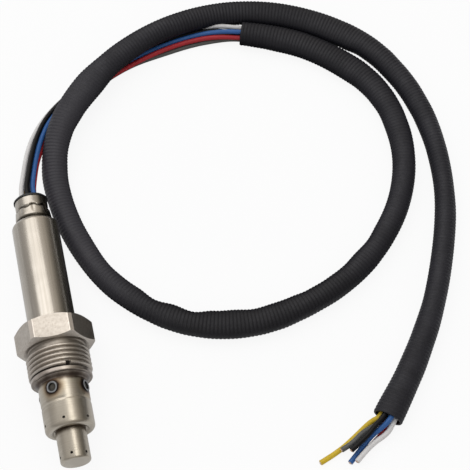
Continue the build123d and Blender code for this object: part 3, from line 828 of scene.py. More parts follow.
@dataclass
class RearSleeve:
    """The drawn sleeve with a shoulder and a collar crimped round the grommet."""

    effects: Effects
    diameter: float = 15.1 * MM
    wall: float = 0.4 * MM
    length: float = 37.3 * MM
    shoulder_radius: float = 1.8 * MM
    neck_diameter: float = 9.9 * MM
    bulge_diameter: float = 11.7 * MM
    fold_diameter: float = 9.6 * MM
    rim_diameter: float = 10.6 * MM
    bulge_offset: float = 2.3 * MM
    fold_offset: float = 5.0 * MM
    jaws: int = 8
    jaw_phase: float = 7.0
    jaw_offset: float = 3.8 * MM
    jaw_reach: float = 2.4 * MM
    crimp_wave: float = 0.32 * MM
    crimp_fold: float = 0.3 * MM
    steps: int = 180
    collar_step: float = 0.2 * MM

    def outline(self, front: float, rear: float) -> list[tuple[float, float]]:
        """The sleeve's outer line, with close points along the collar.

        Args:
            front: the sleeve's front station.
            rear: the rim's station.

        Returns:
            The line's points, as (radius, station).
        """
        start, body = front + self.length, self.diameter / 2
        bulge, fold, fold_start = self.bulge_diameter / 2, self.fold_diameter / 2, start + self.fold_offset
        corners = (
            (body, front), (body, start), (self.neck_diameter / 2, start), (bulge, start + 1.3 * MM),
            (bulge, start + self.bulge_offset), (bulge - 0.2 * MM, fold_start - 0.9 * MM),
            (fold, fold_start - 0.1 * MM), (fold + 0.5 * MM, fold_start + 0.35 * MM),
            (self.rim_diameter / 2, rear),
        )
        arcs = (self.shoulder_radius, 0.25 * MM, 0.7 * MM, 0.5 * MM, 0.35 * MM, 0.12 * MM, 0.2 * MM)
        return rounded(corners, arcs, steps=7)

    def pressed(self, angle: float, radius: float, station: float, start: float) -> Vector:
        """A point of the outer surface after the jaws have crimped the collar.

        Args:
            angle: degrees from straight up.
            radius: the radius before crimping.
            station: the station before crimping.
            start: the collar's first station.

        Returns:
            The crimped point.
        """
        away = (station - start - self.jaw_offset) / self.jaw_reach
        share = max(0.0, 1.0 - away * away) ** 1.5
        turn = math.radians(self.jaws * (angle - self.jaw_phase))
        fold = (1 - abs(math.sin(turn / 2))) ** 2
        wave = self.crimp_wave * (math.cos(turn) + 0.35 * math.sin(turn * 0.375 + 1.0))
        return about_axis(angle, radius - share * self.crimp_fold * fold, station + share * wave)

    def build(self) -> bpy.types.Object:
        """Makes and dresses the sleeve.

        Returns:
            The sleeve's object, which stands for its node.
        """
        low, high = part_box("rear_sleeve")
        outer = self.outline(low.y, high.y)
        start = low.y + self.length
        dense = []
        for point, after in zip(outer, outer[1:]):
            parts = max(1, round((after[1] - point[1]) / self.collar_step)) if point[1] > start else 1
            dense += [Vector(point).lerp(Vector(after), i / parts) for i in range(parts)]
        skin = Skin()
        angles = [360 * i / self.steps for i in range(self.steps)]
        rings = [skin.ring(self.pressed(angle, radius, station, start) for angle in angles)
                 for radius, station in dense + [outer[-1]]]
        rings += [skin.circle(radius, station, self.steps)
                  for radius, station in inset(outer, self.wall)[::-1]]
        skin.chain(rings + [rings[0]])
        finish = Creased(
            "drawn_sleeve_steel", (0.44, 0.41, 0.37), (0.30, 0.275, 0.24), metallic=1.0, roughness=0.18,
            roughness_swing=0.12, across=1500.0, along=30.0, grain_share=0.45, fleck_threshold=0.7,
            fleck_share=0.25, bump=0.004 * MM, start=start, fold=self.fold_diameter / 2)
        sleeve = skin.piece("rear_sleeve_drawn", finish.material(self.effects))
        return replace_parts(sleeve, "rear_sleeve")


# ---------------------------------------------------------------- harness


class Lay(Enum):
    """How the leads lie beside one another along the bundle."""

    LOOSE, SETTLING, STACKED, SPREAD, GATHERED = range(5)


@dataclass(frozen=True)
class LeadPlan:
    """One lead's insulation and its way.

    Angles are in degrees from straight up, in the grommet towards +X and in the conduit towards its left,
    where None is its middle. The stages are even steps along the conduit, chosen so that no lead passes
    through another.
    The lays give the lead's side, towards the bundle's left, and its rise in each Lay.
    """

    label: str
    colour: Colour
    grommet: float
    first_mouth: float | None
    stages: tuple[float | None, ...]
    second_mouth: float
    lays: tuple[tuple[float, float], ...]
    tail: tuple[Place, ...]


class Lead(Enum):
    """The six leads."""

    WHITE = LeadPlan(
        "white", (0.76, 0.74, 0.73), -60, 86, (90,) * 10, 90,
        ((0.0019, 0.0013), (0.0026, 0.0006), (0.0027, 0.0), (0.0033, 0.0008), (0.0027, 0.0016)),
        ((0.0952, -0.0543, 0.0032), (0.0908, -0.056, 0.0029), (0.0872, -0.0582, 0.0027),
         (0.0836, -0.0611, 0.0027)))
    BLACK = LeadPlan(
        "black", (0.003, 0.003, 0.004), 0, None, (30, None, None, *(-30,) * 7), -30,
        ((0.0001, 0.0023), (0.001, 0.00175), (0.00165, 0.00175), (0.0018, 0.0014), (0.0013, 0.0007)),
        ((0.0915, -0.0517, 0.0048), (0.0888, -0.0541, 0.0045), (0.0825, -0.0576, 0.0039)))
    BLUE = LeadPlan(
        "blue", (0.032, 0.12, 0.35), 60, -22, (-30, -30, *(30,) * 8), 30,
        ((-0.00135, 0.0012), (-0.0007, 0.0015), (-0.00005, 0.00175), (0.0001, 0.00175), (-0.00035, 0.00175)),
        ((0.0934, -0.0525, 0.0039), (0.0902, -0.0537, 0.0025), (0.0861, -0.0569, 0.0011),
         (0.0817, -0.0605, 0.0009)))
    # the red is darker than its dye, partly as painted shade for where the lead lies in shadow along the
    # bundle
    RED = LeadPlan(
        "red", (0.42, 0.022, 0.03), 120, -80, (*(-90,) * 4, None, None, *(150,) * 4), 150,
        ((-0.00155, -0.00085), (-0.0016, -0.0006), (-0.00175, 0.00165), (-0.0017, 0.00175),
         (-0.0019, 0.0010)),
        ((0.0943, -0.0531, 0.0014), (0.0908, -0.0555, 0.0009), (0.0872, -0.0578, 0.0009),
         (0.0841, -0.0603, 0.0009)))
    GRAY = LeadPlan(
        "gray", (0.105, 0.105, 0.10), 180, -142, (*(-150,) * 5, -90, -90, -90, -150, -150), -150,
        ((0.00018, -0.0012), (0.0, -0.0013), (-0.0009, 0.0), (-0.0024, 0.0), (-0.0024, -0.0008)),
        ((0.0905, -0.0513, 0.0029), (0.0874, -0.0525, 0.003), (0.0838, -0.0551, 0.0029),
         (0.0798, -0.0564, 0.00265)))
    YELLOW = LeadPlan(
        "yellow", (0.72, 0.50, 0.03), -120, 158, (*(150,) * 5, 210, 210, None, None, 270), -90,
        ((0.0019, -0.0006), (0.0016, -0.0008), (0.0009, 0.0), (0.00115, 0.0), (0.00045, -0.0008)),
        ((0.0914, -0.0489, 0.0021), (0.0856, -0.0524, 0.0009), (0.0794, -0.0561, 0.0009),
         (0.0727, -0.0585, 0.0009)))


CONDUIT_ROUTE = (
    (0.083, 0.1015, 0.0038), (0.0969, 0.0964, 0.0038), (0.1111, 0.086, 0.0038), (0.1235, 0.0713, 0.0038),
    (0.1276, 0.053, 0.0038), (0.1256, 0.0361, 0.0038), (0.1186, 0.0203, 0.0038), (0.1059, 0.0061, 0.0038),
    (0.0902, -0.0035, 0.0038), (0.0727, -0.0092, 0.0038), (0.054, -0.0087, 0.0038), (0.0358, -0.0018, 0.0038),
    (0.0208, 0.0129, 0.0038), (0.0126, 0.031, 0.0038), (0.0091, 0.0475, 0.0038), (0.0095, 0.0616, 0.0048),
    (0.0147, 0.0756, 0.0072), (0.0252, 0.0884, 0.0077), (0.0384, 0.0992, 0.0076), (0.0556, 0.1076, 0.0071),
    (0.077, 0.1122, 0.0042), (0.0996, 0.1072, 0.0038), (0.1209, 0.0934, 0.0038), (0.1345, 0.0721, 0.0038),
    (0.1384, 0.049, 0.0038), (0.1365, 0.0251, 0.0038), (0.1302, 0.0051, 0.0038), (0.1207, -0.0163, 0.0038),
    (0.1088, -0.0344, 0.0038), (0.0965, -0.0495, 0.0038),
)
# In millimetres: distance along the conduit, then how far it reaches to the left, to the right and in height.
CONDUIT_GIRTHS = (
    (0, 4.3, 4.4, 7.6), (8, 4.75, 4.6, 7.4), (14, 5.0, 4.8, 7.2), (28, 5.2, 4.6, 6.9), (42, 5.25, 4.75, 6.8),
    (49, 4.95, 4.45, 6.9), (56, 4.7, 4.25, 7.0), (63, 4.55, 3.95, 7.1), (70, 4.25, 4.15, 7.3),
    (84, 4, 3.9, 7.5),
    (98, 3.85, 3.95, 7.6), (112, 3.9, 4.0, 7.5), (119, 4.0, 3.65, 7.5), (126, 4.2, 4.05, 7.4),
    (133, 4.25, 3.7, 7.4), (140, 4.25, 3.85, 7.4), (148, 4.0, 4.15, 7.3), (154, 4.0, 4.75, 7.1),
    (161, 4.4, 4.85, 7.0), (168, 4.65, 4.5, 6.9), (175, 4.8, 5.1, 6.8), (182, 4.8, 4.75, 6.8),
    (189, 4.6, 3.5, 7.0), (196, 4.35, 4.3, 7.1), (203, 4.1, 3.35, 7.3), (210, 4.1, 4.15, 7.3),
    (217, 4.2, 4, 7.3),
    (224, 4.15, 3.75, 7.5), (238, 4.15, 4.25, 7.3), (252, 4.15, 4.3, 7.3), (266, 4.6, 4.2, 7.1),
    (274, 4.7, 3.95, 7.2), (281, 4.9, 4.1, 7.1), (289, 5.2, 4.65, 7.0), (301, 5.3, 5.2, 7.0),
    (313, 4.4, 4.4, 7.2),
    (334, 3.95, 4.2, 7.3), (350, 4.0, 4.6, 7.2), (364, 4.3, 4.8, 7.0), (378, 4.5, 5.2, 6.9),
    (392, 4.5, 5.5, 6.8),
    (400, 4.5, 5.7, 6.7), (406, 4.6, 5.3, 6.8), (413, 4.5, 4.35, 7.1), (420, 4.25, 4.25, 7.3),
    (427, 3.8, 4.4, 7.3), (434, 3.6, 4.3, 7.4), (441, 3.5, 4.2, 7.4), (448, 3.6, 3.9, 7.6),
    (462, 3.45, 3.55, 7.7),
    (476, 3.4, 3.4, 7.8), (490, 3.7, 3.5, 7.6), (518, 3.75, 3.65, 7.6), (532, 4.05, 4.05, 7.5),
    (546, 4.55, 4.2, 7.5), (562, 4.8, 4.9, 7.6),
)
BUNDLE_EXIT = (0.0, 0.049, AXIS_HEIGHT)
BUNDLE_ROUTE = (
    ((0.001, 0.0554, 0.01), Lay.LOOSE), ((0.0029, 0.0636, 0.0076), Lay.LOOSE),
    ((0.0062, 0.0722, 0.004), Lay.SETTLING), ((0.0112, 0.0808, 0.0017), Lay.STACKED),
    ((0.02, 0.0885, 0.0009), Lay.STACKED), ((0.031, 0.0942, 0.0009), Lay.STACKED),
    ((0.0425, 0.0994, 0.0009), Lay.STACKED), ((0.0545, 0.103, 0.0009), Lay.SPREAD),
    ((0.0645, 0.1046, 0.0009), Lay.SPREAD), ((0.073, 0.1043, 0.0024), Lay.GATHERED),
)


def beside(place: Vector, heading: Vector, side: float, rise: float) -> Vector:
    """Point beside a place on a level route: side towards its left, rise upwards."""
    along = Vector((heading.x, heading.y, 0)).normalized()
    return place + Vector((-along.y, along.x, 0)) * side + Vector((0, 0, rise))


def on_ring(place: Vector, heading: Vector, angle: float | None, radius: float) -> Vector:
    """Point round a place on a route.

    Args:
        place: the place.
        heading: the route's direction there.
        angle: degrees from straight up towards the left, or None for the place itself.
        radius: the ring's radius.

    Returns:
        The point.
    """
    if angle is None:
        return place
    turn = math.radians(angle)
    return beside(place, heading, radius * math.sin(turn), radius * math.cos(turn))


class SmoothLine:
    """A smooth line through the middles of a route's runs, and what follows it."""

    def __init__(self, name: str, route: Sequence[Vector]) -> None:
        """Makes the curve with the route's points as its control points.

        Args:
            name: the curve's name.
            route: its control points.
        """
        self.curve = bpy.data.curves.new(name, "CURVE")
        self.curve.dimensions = "3D"
        spline = self.curve.splines.new("NURBS")
        spline.points.add(len(route) - 1)
        for point, place in zip(spline.points, route):
            point.co = (*place, 1.0)
        spline.order_u = 3
        spline.use_endpoint_u = True

    def read(self, detail: int) -> list[Vector]:
        """Points along the line, as Blender works them out.

        Args:
            detail: points in each of its spans.

        Returns:
            The points in order.
        """
        self.curve.resolution_u = detail
        holder = placed("line_reader", self.curve)
        mesh = bpy.data.meshes.new_from_object(holder)
        points = [vertex.co.copy() for vertex in mesh.vertices]
        bpy.data.objects.remove(holder)
        bpy.data.meshes.remove(mesh)
        return points

    def tube(self, radius: float, material: bpy.types.Material) -> bpy.types.Object:
        """Turns the line into a round closed tube.

        Args:
            radius: the tube's radius.
            material: its finish.

        Returns:
            The tube's object.
        """
        self.curve.resolution_u = 8
        self.curve.bevel_depth = radius
        self.curve.bevel_resolution = 5
        self.curve.use_fill_caps = True
        self.curve.materials.append(material)
        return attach(placed(self.curve.name, self.curve), Body.SENSOR.value)


class Measured:
    """A line of points with the distance along it."""

    def __init__(self, points: Sequence[Vector]) -> None:
        """Adds up the distance to each point.

        Args:
            points: the line's points.
        """
        self.points = points
        self.travel = [0.0]
        for before, after in zip(points, points[1:]):
            self.travel.append(self.travel[-1] + (after - before).length)

    @property
    def length(self) -> float:
        """The line's whole length."""
        return self.travel[-1]

    def frames(self, distances: Iterable[float]) -> list[tuple[Vector, Vector, Vector]]:
        """Finds the line's points and directions.

        Args:
            distances: how far along the line, in rising order.

        Returns:
            The point, the left and the up direction at each distance.
        """
        found, i = [], 0
        for distance in distances:
            while i < len(self.points) - 2 and self.travel[i + 1] < distance:
                i += 1
            share = (distance - self.travel[i]) / (self.travel[i + 1] - self.travel[i])
            before, after = self.points[max(i - 1, 0)], self.points[min(i + 2, len(self.points) - 1)]
            along = (after - before).normalized()
            left = Vector((-along.y, along.x, 0)).normalized()
            found.append((self.points[i].lerp(self.points[i + 1], share), left, along.cross(left)))
        return found


@dataclass
class Conduit:
    """The ribbed flexible conduit, open at both cut ends."""

    effects: Effects
    diameter: float = 7.6 * MM
    rib_pitch: float = 1.2 * MM
    rib_height: float = 0.15 * MM
    wall: float = 0.7 * MM
    length: float = 0.562
    steps: int = 26
    span_points: int = 24
    bore_steps: int = 260
    rib_profile: tuple[tuple[float, float], ...] = (
        (0.0, 1.0), (0.14, 0.7), (0.3, 0.14), (0.5, 0.0), (0.7, 0.14), (0.86, 0.7))

    def build(self) -> bpy.types.Object:
        """Returns:
            The conduit's object, which stands for its node.
        """
        route = [Vector(place) for place in CONDUIT_ROUTE]
        path = SmoothLine("conduit_line", route).read(self.span_points)
        line = Measured(path)
        ribs = int(line.length / self.rib_pitch)
        stations = [((rib + place) * line.length / ribs, -dip * self.rib_height)
                    for rib in range(ribs) for place, dip in self.rib_profile]
        stations.append((line.length, -self.rib_height))
        bore = [(line.length * i / self.bore_steps, -self.wall) for i in range(self.bore_steps + 1)]
        skin = Skin()
        outer, inner = self._rings(skin, line, stations), self._rings(skin, line, bore)
        skin.chain(outer + inner[::-1] + [outer[0]])
        finish = Patchy(
            "ribbed_nylon", (0.024, 0.0235, 0.030), (0.010, 0.0098, 0.0135), roughness=0.45,
            roughness_swing=0.16, across=900.0, along=900.0, fleck=(0.05, 0.05, 0.055), fleck_scale=1500.0,
            fleck_threshold=0.68, fleck_share=0.25, cloud_scale=60.0, cloud_share=0.6, shine=0.25)
        conduit = skin.piece("conduit_ribbed", finish.material(self.effects), sharp=70.0)
        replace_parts(conduit, "conduit")
        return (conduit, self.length, [tuple(point) for point in path])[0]

    @staticmethod
    def girth(distance: float) -> tuple[float, float, float]:
        """The conduit's uneven section.

        Args:
            distance: how far along the conduit.

        Returns:
            How far it reaches to its left, to its right and in height there.
        """
        place = min(distance / MM, CONDUIT_GIRTHS[-1][0])
        pairs = zip(CONDUIT_GIRTHS, CONDUIT_GIRTHS[1:])
        (start, *before), (end, *after) = next(pair for pair in pairs if place <= pair[1][0])
        share = (place - start) / (end - start)
        share *= share * (3 - 2 * share)
        return tuple((low + (high - low) * share) * MM for low, high in zip(before, after))

    def _rings(self, skin: Skin, line: Measured, stations: Sequence[tuple[float, float]]) -> list[range]:
        """Oval rings round the line, resting as low as round ones.

        Args:
            skin: the skin to add to.
            line: the line.
            stations: how far along each ring is and how far it stands out from the section there.

        Returns:
            The rings.
        """
        rings = []
        turns = [2 * math.pi * i / self.steps for i in range(self.steps)]
        spots = line.frames(place for place, _ in stations)
        for (point, left, up), (distance, depth) in zip(spots, stations):
            to_left, to_right, height = self.girth(distance)
            middle = point + up * (height - self.diameter) / 2
            rings.append(skin.ring(
                middle + left * math.sin(turn) * ((to_left if math.sin(turn) > 0 else to_right) + depth)
                + up * math.cos(turn) * (height / 2 + depth) for turn in turns))
        return rings


@dataclass
class Leads:
    """Six leads, each one smooth length from its crimp to its cut end."""

    effects: Effects
    diameter: float = 1.7 * MM
    circle_diameter: float = 5.8 * MM
    mouth_circle_diameter: float = 4.4 * MM
    inner_circle_diameter: float = 3.5 * MM
    mouth_depth: float = 6.0 * MM
    bundle_entry: float = 2.5 * MM
    tail_exit: float = 1.0 * MM
    straight_end: float = 42.6 * MM
    lean: float = -0.7 * MM
    gather: float = 0.26
    cut_back: float = 0.35 * MM
    length: float = 0.72
    strand_diameter: float = 0.2 * MM
    strand_gap: float = 0.004 * MM
    strand_depth: float = 1.0 * MM
    strand_show: float = 0.25 * MM
    strand_rounding: float = 0.03 * MM
    strand_rows: int = 2
    shade_share: float = 0.72

    def route(self, plan: LeadPlan) -> list[Vector]:
        """A lead's control points.

        Args:
            plan: the lead's plan.

        Returns:
            The points from the crimp to the cut end.
        """
        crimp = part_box(f"lead_{plan.label}")[0].y
        hole = about_axis(plan.grommet, self.circle_diameter / 2, BUNDLE_EXIT[1])
        points = [Vector((hole.x, crimp, hole.z)), Vector((hole.x, self.straight_end, hole.z)),
                  hole + Vector((self.lean - hole.x * self.gather, 0, 0))]
        conduit = [Vector(place) for place in CONDUIT_ROUTE]
        heading, parting = (conduit[1] - conduit[0]).normalized(), (conduit[-1] - conduit[-2]).normalized()
        entry = conduit[0] - heading * self.bundle_entry
        route = [Vector(BUNDLE_EXIT)] + [Vector(place) for place, _ in BUNDLE_ROUTE] + [entry]
        for before, place, after, (_, how) in zip(route, route[1:], route[2:], BUNDLE_ROUTE):
            points.append(beside(place, after - before, *plan.lays[how.value]))
        mouth, inner = self.mouth_circle_diameter / 2, self.inner_circle_diameter / 2
        points += [on_ring(place, heading, plan.first_mouth, mouth)
                   for place in (entry, conduit[0] + heading * self.mouth_depth)]
        stages, spans = plan.stages, len(conduit) - 3
        points += [on_ring(place, after - before, stages[round(i / spans * (len(stages) - 1))], inner)
                   for i, (before, place, after) in enumerate(zip(conduit, conduit[1:], conduit[2:]))]
        points += [on_ring(conduit[-1] + parting * reach, parting, plan.second_mouth, mouth)
                   for reach in (-self.mouth_depth, self.tail_exit)]
        tail = [Vector(place) for place in plan.tail]
        tail[-1] -= (tail[-1] - tail[-2]).normalized() * self.cut_back
        return points + tail

    def strands(self, label: str, end: Vector, along: Vector, metal: bpy.types.Material) -> bpy.types.Object:
        """The cut conductor at a lead's end: nineteen fine strands.

        Args:
            label: the lead's label.
            end: the middle of the cut face.
            along: the lead's direction there.
            metal: the strands' finish.

        Returns:
            The strands' object.
        """
        skin, radius, rows = Skin(), self.strand_diameter / 2, self.strand_rows
        left = along.cross(Vector((0, 0, 1))).normalized()
        up = left.cross(along)
        pitch = self.strand_diameter + self.strand_gap
        spokes = [left * math.cos(math.pi * i / 4) + up * math.sin(math.pi * i / 4) for i in range(8)]
        ends = ((-self.strand_depth, radius), (self.strand_show - self.strand_rounding, radius),
                (self.strand_show, radius * 2 / 3))
        for q in range(-rows, rows + 1):
            for r in range(max(-rows, -q - rows), min(rows, rows - q) + 1):
                middle = end + left * (q + r / 2) * pitch + up * r * pitch * math.sqrt(0.75)
                rings = [skin.ring(middle + along * reach + spoke * size for spoke in spokes)
                         for reach, size in ends]
                skin.chain(rings)
                skin.close(rings[0])
                skin.close(rings[-1])
        return skin.piece(f"strands_{label}", metal)

    def build(self) -> list[bpy.types.Object]:
        """Returns:
            The leads' objects.
        """
        metal = Finish("cut_tinned_copper", (0.66, 0.6, 0.55), (0.55, 0.3, 0.18), metallic=1.0,
                       roughness=0.35, grain_share=0.5).material(self.effects)
        made = []
        for plan in (lead.value for lead in Lead):
            label, tone = plan.label, plan.colour
            finish = Finish(
                f"{label}_insulation", tone, tuple(channel * self.shade_share for channel in tone),
                roughness=0.36, roughness_swing=0.12, across=900.0, along=900.0, grain_share=0.25,
                fleck=tuple(0.06 + 0.8 * channel for channel in tone), fleck_scale=1200.0,
                fleck_threshold=0.7, cloud_scale=120.0, cloud_share=0.35, bump=0.003 * MM,
                shine=0.3 if max(tone) > 0.05 else 0.18)
            route = self.route(plan)
            line = SmoothLine(f"lead_{label}_whole", route)
            tube = line.tube(self.diameter / 2, finish.material(self.effects))
            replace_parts(tube, f"lead_{label}", f"tail_{label}")
            strands = self.strands(label, route[-1], (route[-1] - route[-2]).normalized(), metal)
            self.length
            made.append(tube)
        return made


# ---------------------------------------------------------------- pieces carried over from the frame


@dataclass
class Housing:
    """The shell, the two perforated tubes and the grommet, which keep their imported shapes."""

    effects: Effects
    weld_inset: float = 2.5 * MM
    weld_phase: float = -23.0

    def dress(self, finish: Finish, *nodes: str) -> None:
        """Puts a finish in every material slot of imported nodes.

        Args:
            finish: the finish.
            nodes: the nodes' names.
        """
        material = finish.material(self.effects)
        for node in nodes:
            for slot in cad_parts[node].material_slots:
                slot.material = material
            log.info("dressed %s in %s", node, finish.name)

    def build(self) -> None:
        """Dresses the shell, the tubes and the grommet."""
        tone, shade = (0.44, 0.405, 0.35), (0.30, 0.265, 0.215)
        steel = dict(metallic=1.0, roughness=0.26, roughness_swing=0.14, across=60.0, along=2600.0,
                     grain_share=0.35, fleck_scale=1500.0, fleck_share=0.35, bump=0.004 * MM)
        front, rear = (corner.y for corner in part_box("outer_protection_tube"))
        self.dress(Welded("welded_tube_steel", tone, shade, station=rear - self.weld_inset,
                          phase=self.weld_phase, seam=rear, **steel), "outer_protection_tube")
        self.dress(BrownedAndShaded("perforated_tube_steel", tone, shade, seam=front + 0.3 * MM, seam_reach=1.9 * MM,
                           **steel), "inner_protection_tube")
        self.dress(BrownedAndShaded("turned_shell_steel", (0.38, 0.34, 0.315), shade, seam=rear + 0.5 * MM,
                           seam_reach=1.5 * MM, seam_stain_and_shade=(0.03, 0.018, 0.013), **steel), "sensor_shell")
        self.dress(Finish("black_rubber", (0.016, 0.016, 0.017), (0.008, 0.008, 0.009), roughness=0.55,
                          across=1200.0, along=1200.0, fleck=(0.08, 0.08, 0.08), fleck_share=0.2,
                          bump=0.02 * MM), "grommet")


@dataclass
class Core:
    """The parts that the housing hides, from the ceramic strip to the crimped contacts."""

    housing: Housing

    def build(self) -> None:
        """Dresses every inner node."""
        dress = self.housing.dress
        dress(Finish("nickel_contact", (0.60, 0.57, 0.5), (0.42, 0.39, 0.33), metallic=1.0, roughness=0.28,
                     across=300.0, along=1800.0), *(f"terminal_{lead.value.label}" for lead in Lead))
        dress(Finish("spring_steel", (0.52, 0.5, 0.47), (0.35, 0.33, 0.3), metallic=1.0, roughness=0.3,
                     across=1800.0, along=120.0), "retainer_spring")
        dress(Finish("zirconia_strip", (0.72, 0.72, 0.68), (0.56, 0.55, 0.5), roughness=0.5, across=900.0,
                     along=200.0), "sensor_element")
        dress(Finish("alumina_body", (0.80, 0.78, 0.72), (0.66, 0.63, 0.56), roughness=0.6, fleck_share=0.15,
                     bump=0.02 * MM),
              "front_ceramic", "rear_ceramic", "contact_holder_upper", "contact_holder_lower")
        dress(Finish("pressed_talc", (0.58, 0.59, 0.56), (0.45, 0.46, 0.43), roughness=0.9,
                     roughness_swing=0.05, across=1600.0, along=1600.0, bump=0.05 * MM), "talc_seal")
        dress(Finish("pressed_ring_steel", (0.58, 0.54, 0.49), (0.4, 0.36, 0.32), metallic=1.0, roughness=0.3,
                     across=80.0, along=2400.0), "press_ring")


# ---------------------------------------------------------------- studio


@dataclass
class Studio:
    """Pale floor, soft lamp, plain surroundings and the camera."""

    floor_half: float = 1.6
    paper: Colour = (0.93, 0.93, 0.93)
    ambient: float = 0.52
    glow_share: float = 0.9
    polished_glow_share: float = 0.4
    polished_strength: float = 1.6
    softbox_size: tuple[float, float] = (0.89, 1.2)
    softbox_place: Place = (-0.117, 0.35, 0.9)
    softbox_watts: float = 4.4
    dark_near: tuple[float, float] = (0.003, 0.009)
    dark_far: tuple[float, float] = (0.1, 0.16)
    dark_front: tuple[float, float] = (-0.014, 0.0)
    painted_floor_shade: Colour = (0.04, 0.04, 0.035)
    card_height: float = 0.06
    card_front: float = -0.055
    focal_px: float = 1500.0
    frame_px: float = 470.0
    sensor_width: float = 36.0
    azimuth: float = -12.2267
    elevation: float = 62.3204
    place: Place = (0.015091, -0.201515, 0.441848)
    roll_tones: tuple[tuple[float, Colour], ...] = (
        (-100, (0.50, 0.49, 0.48)), (-62, (0.66, 0.64, 0.62)), (-40, (0.88, 0.85, 0.80)),
        (-8, (1.0, 0.95, 0.88)), (14, (0.90, 0.85, 0.78)), (34, (0.76, 0.71, 0.64)), (58, (0.52, 0.48, 0.42)),
        (78, (0.22, 0.20, 0.17)), (130, (0.45, 0.44, 0.43)),
    )
    depth_levels: tuple[tuple[float, float], ...] = (
        (0.0, 0.4), (0.45, 0.5), (0.66, 0.62), (0.78, 0.64), (0.88, 1.0), (1.0, 0.6))

    @staticmethod
    def sheet(name: str, low: tuple[float, float], high: tuple[float, float], height: float,
              material: bpy.types.Material) -> bpy.types.Object:
        """Adds a level rectangle to the scene.

        Args:
            name: its name.
            low: its left front corner.
            high: its right rear corner.
            height: its height.
            material: its material.

        Returns:
            The rectangle's object.
        """
        mesh = bpy.data.meshes.new(name)
        corners = (low, (high[0], low[1]), high, (low[0], high[1]))
        mesh.from_pydata([(*corner, height) for corner in corners], [], [(0, 1, 2, 3)])
        mesh.materials.append(material)
        sheet = placed(name, mesh)
        return sheet

    def floor(self) -> None:
        """Adds a large pale floor under everything, with a patch of painted shade beside the probe that only
        polished metal sees.
        """
        on = Surface("pale_paper")
        path = on.add("ShaderNodeLightPath").outputs
        plain = on.times(on.seen(path), self.glow_share)
        share = on.math("MAXIMUM", plain, on.times(path["Is Glossy Ray"], self.polished_glow_share))
        paper = on.add("ShaderNodeBsdfDiffuse", {"Color": self.paper}).outputs[0]
        pale = on.add("ShaderNodeMixShader", {0: share, 1: paper, 2: on.glow((1.0, 1.0, 1.0))}).outputs[0]
        across, along, _ = on.parts(on.place)
        # painted shade on the floor to the probe's right, seen only in reflections
        dark = on.times(on.spread(across, *self.dark_near), on.spread(across, *self.dark_far, 1.0, 0.0))
        dark = on.times(on.times(dark, on.spread(along, *self.dark_front)), path["Is Glossy Ray"])
        mixed = on.add("ShaderNodeMixShader", {0: dark, 1: pale, 2: on.glow(self.painted_floor_shade)}).outputs[0]
        half = self.floor_half
        self.sheet("floor", (-half, -half), (half, half), 0.0, on.end(mixed))

    def card(self, name: str, left: float, right: float, rear: float, tone: Colour) -> None:
        """Adds a flat card over the tubes, which only polished metal reflects.

        Args:
            name: the card's name.
            left: its left side.
            right: its right side.
            rear: its rear edge.
            tone: its radiance.
        """
        on = Surface(name)
        card = self.sheet(name, (left, self.card_front), (right, rear), self.card_height,
                          on.end(on.glow(tone)))
        card.visible_camera = card.visible_diffuse = card.visible_shadow = card.visible_transmission = False

    def world(self) -> None:
        """Even light for matt surfaces, and a pale room with one darker side for polished ones."""
        world = bpy.data.worlds.new("pale_room")
        world.use_nodes = True
        bpy.context.scene.world = world
        net = Net(world.node_tree)
        path = net.add("ShaderNodeLightPath").outputs
        across, along, height = net.parts(net.add("ShaderNodeTexCoord").outputs["Generated"])
        roll = net.math("DIVIDE", net.math("ARCTAN2", across, height), 2 * math.pi)
        room = net.ramp(net.math("ADD", roll, 0.5),
                        [((turn + 180) / 360, tone) for turn, tone in self.roll_tones])
        depth = net.ramp(net.math("MULTIPLY_ADD", along, 0.5, 0.5),
                         [(place, (level,) * 3) for place, level in self.depth_levels])
        room = net.vector("MULTIPLY", a=room, b=depth)[0]
        room = net.vector("SCALE", a=room, scale=self.polished_strength)[0]
        side = net.spread(net.apart(along, 0.42), 0.15, 0.5, 0.6, 0.0)
        dark = net.times(net.spread(across, 0.6, 0.88), side)
        room = net.mix(dark, room, (0.05, 0.05, 0.042))
        plain = net.mix(net.seen(path), (self.ambient,) * 3, (1.0, 1.0, 1.0))
        colour = net.mix(path["Is Glossy Ray"], plain, room)
        background = net.add("ShaderNodeBackground", {"Color": colour, "Strength": 1.0})
        net.add("ShaderNodeOutputWorld", {0: background.outputs[0]})

    def softbox(self, aim: Vector) -> None:
        """Adds the large soft lamp overhead.

        Args:
            aim: the point that it faces.
        """
        light = bpy.data.lights.new("softbox", "AREA")
        light.shape = "RECTANGLE"
        light.size, light.size_y = self.softbox_size
        light.energy = self.softbox_watts
        place = Vector(self.softbox_place)
        turn = (place - aim).to_track_quat("Z", "Y").to_matrix().to_4x4()
        placed("softbox", light).matrix_world = Matrix.Translation(place) @ turn

    def camera(self) -> None:
        """Sets the camera from its place, its heading and its focal length in pixels."""
        data = bpy.data.cameras.new("camera")
        data.sensor_width = self.sensor_width
        data.lens = self.focal_px / self.frame_px * self.sensor_width
        data.clip_start, data.clip_end = 0.01, 20.0
        turn, fall = math.radians(self.azimuth), math.radians(self.elevation)
        forward = Vector((-math.sin(turn) * math.cos(fall), math.cos(turn) * math.cos(fall), -math.sin(fall)))
        right = Vector((math.cos(turn), math.sin(turn), 0))
        axes = Matrix((right, right.cross(forward), -forward)).transposed()
        camera = placed("camera", data)
        camera.matrix_world = Matrix.Translation(self.place) @ axes.to_4x4()
        bpy.context.scene.camera = camera

    def build(self) -> None:
        """Sets the stage."""
        self.floor()
        self.world()
        self.softbox((cad_box[0] + cad_box[1]) / 2)
        self.card("gray_card", -0.09, 0.0075, -0.002, (0.70, 0.68, 0.65))
        self.card("bright_card", 0.0075, 0.026, 0.0085, (3.1, 3.05, 2.9))
        self.camera()
        bpy.context.scene.view_settings.view_transform = "Standard"


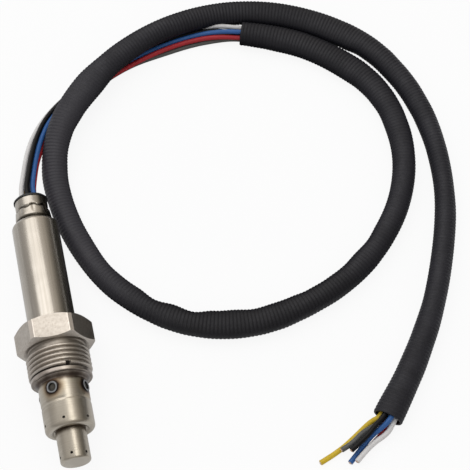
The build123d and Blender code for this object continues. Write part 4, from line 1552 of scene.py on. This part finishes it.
def main() -> None:
    """Builds the stage and every piece in order."""
    logging.basicConfig(level=logging.INFO, format="%(name)s: %(message)s")
    effects = Effects()
    Studio().build()
    housing = Housing(effects)
    housing.build()
    Core(housing).build()
    pieces = [FittingNut(effects).build(), RearSleeve(effects).build(), Conduit(effects).build()]
    for piece in pieces + Leads(effects).build():
        log.info("made %s", piece.name)


if __name__ == "__main__":
    main()
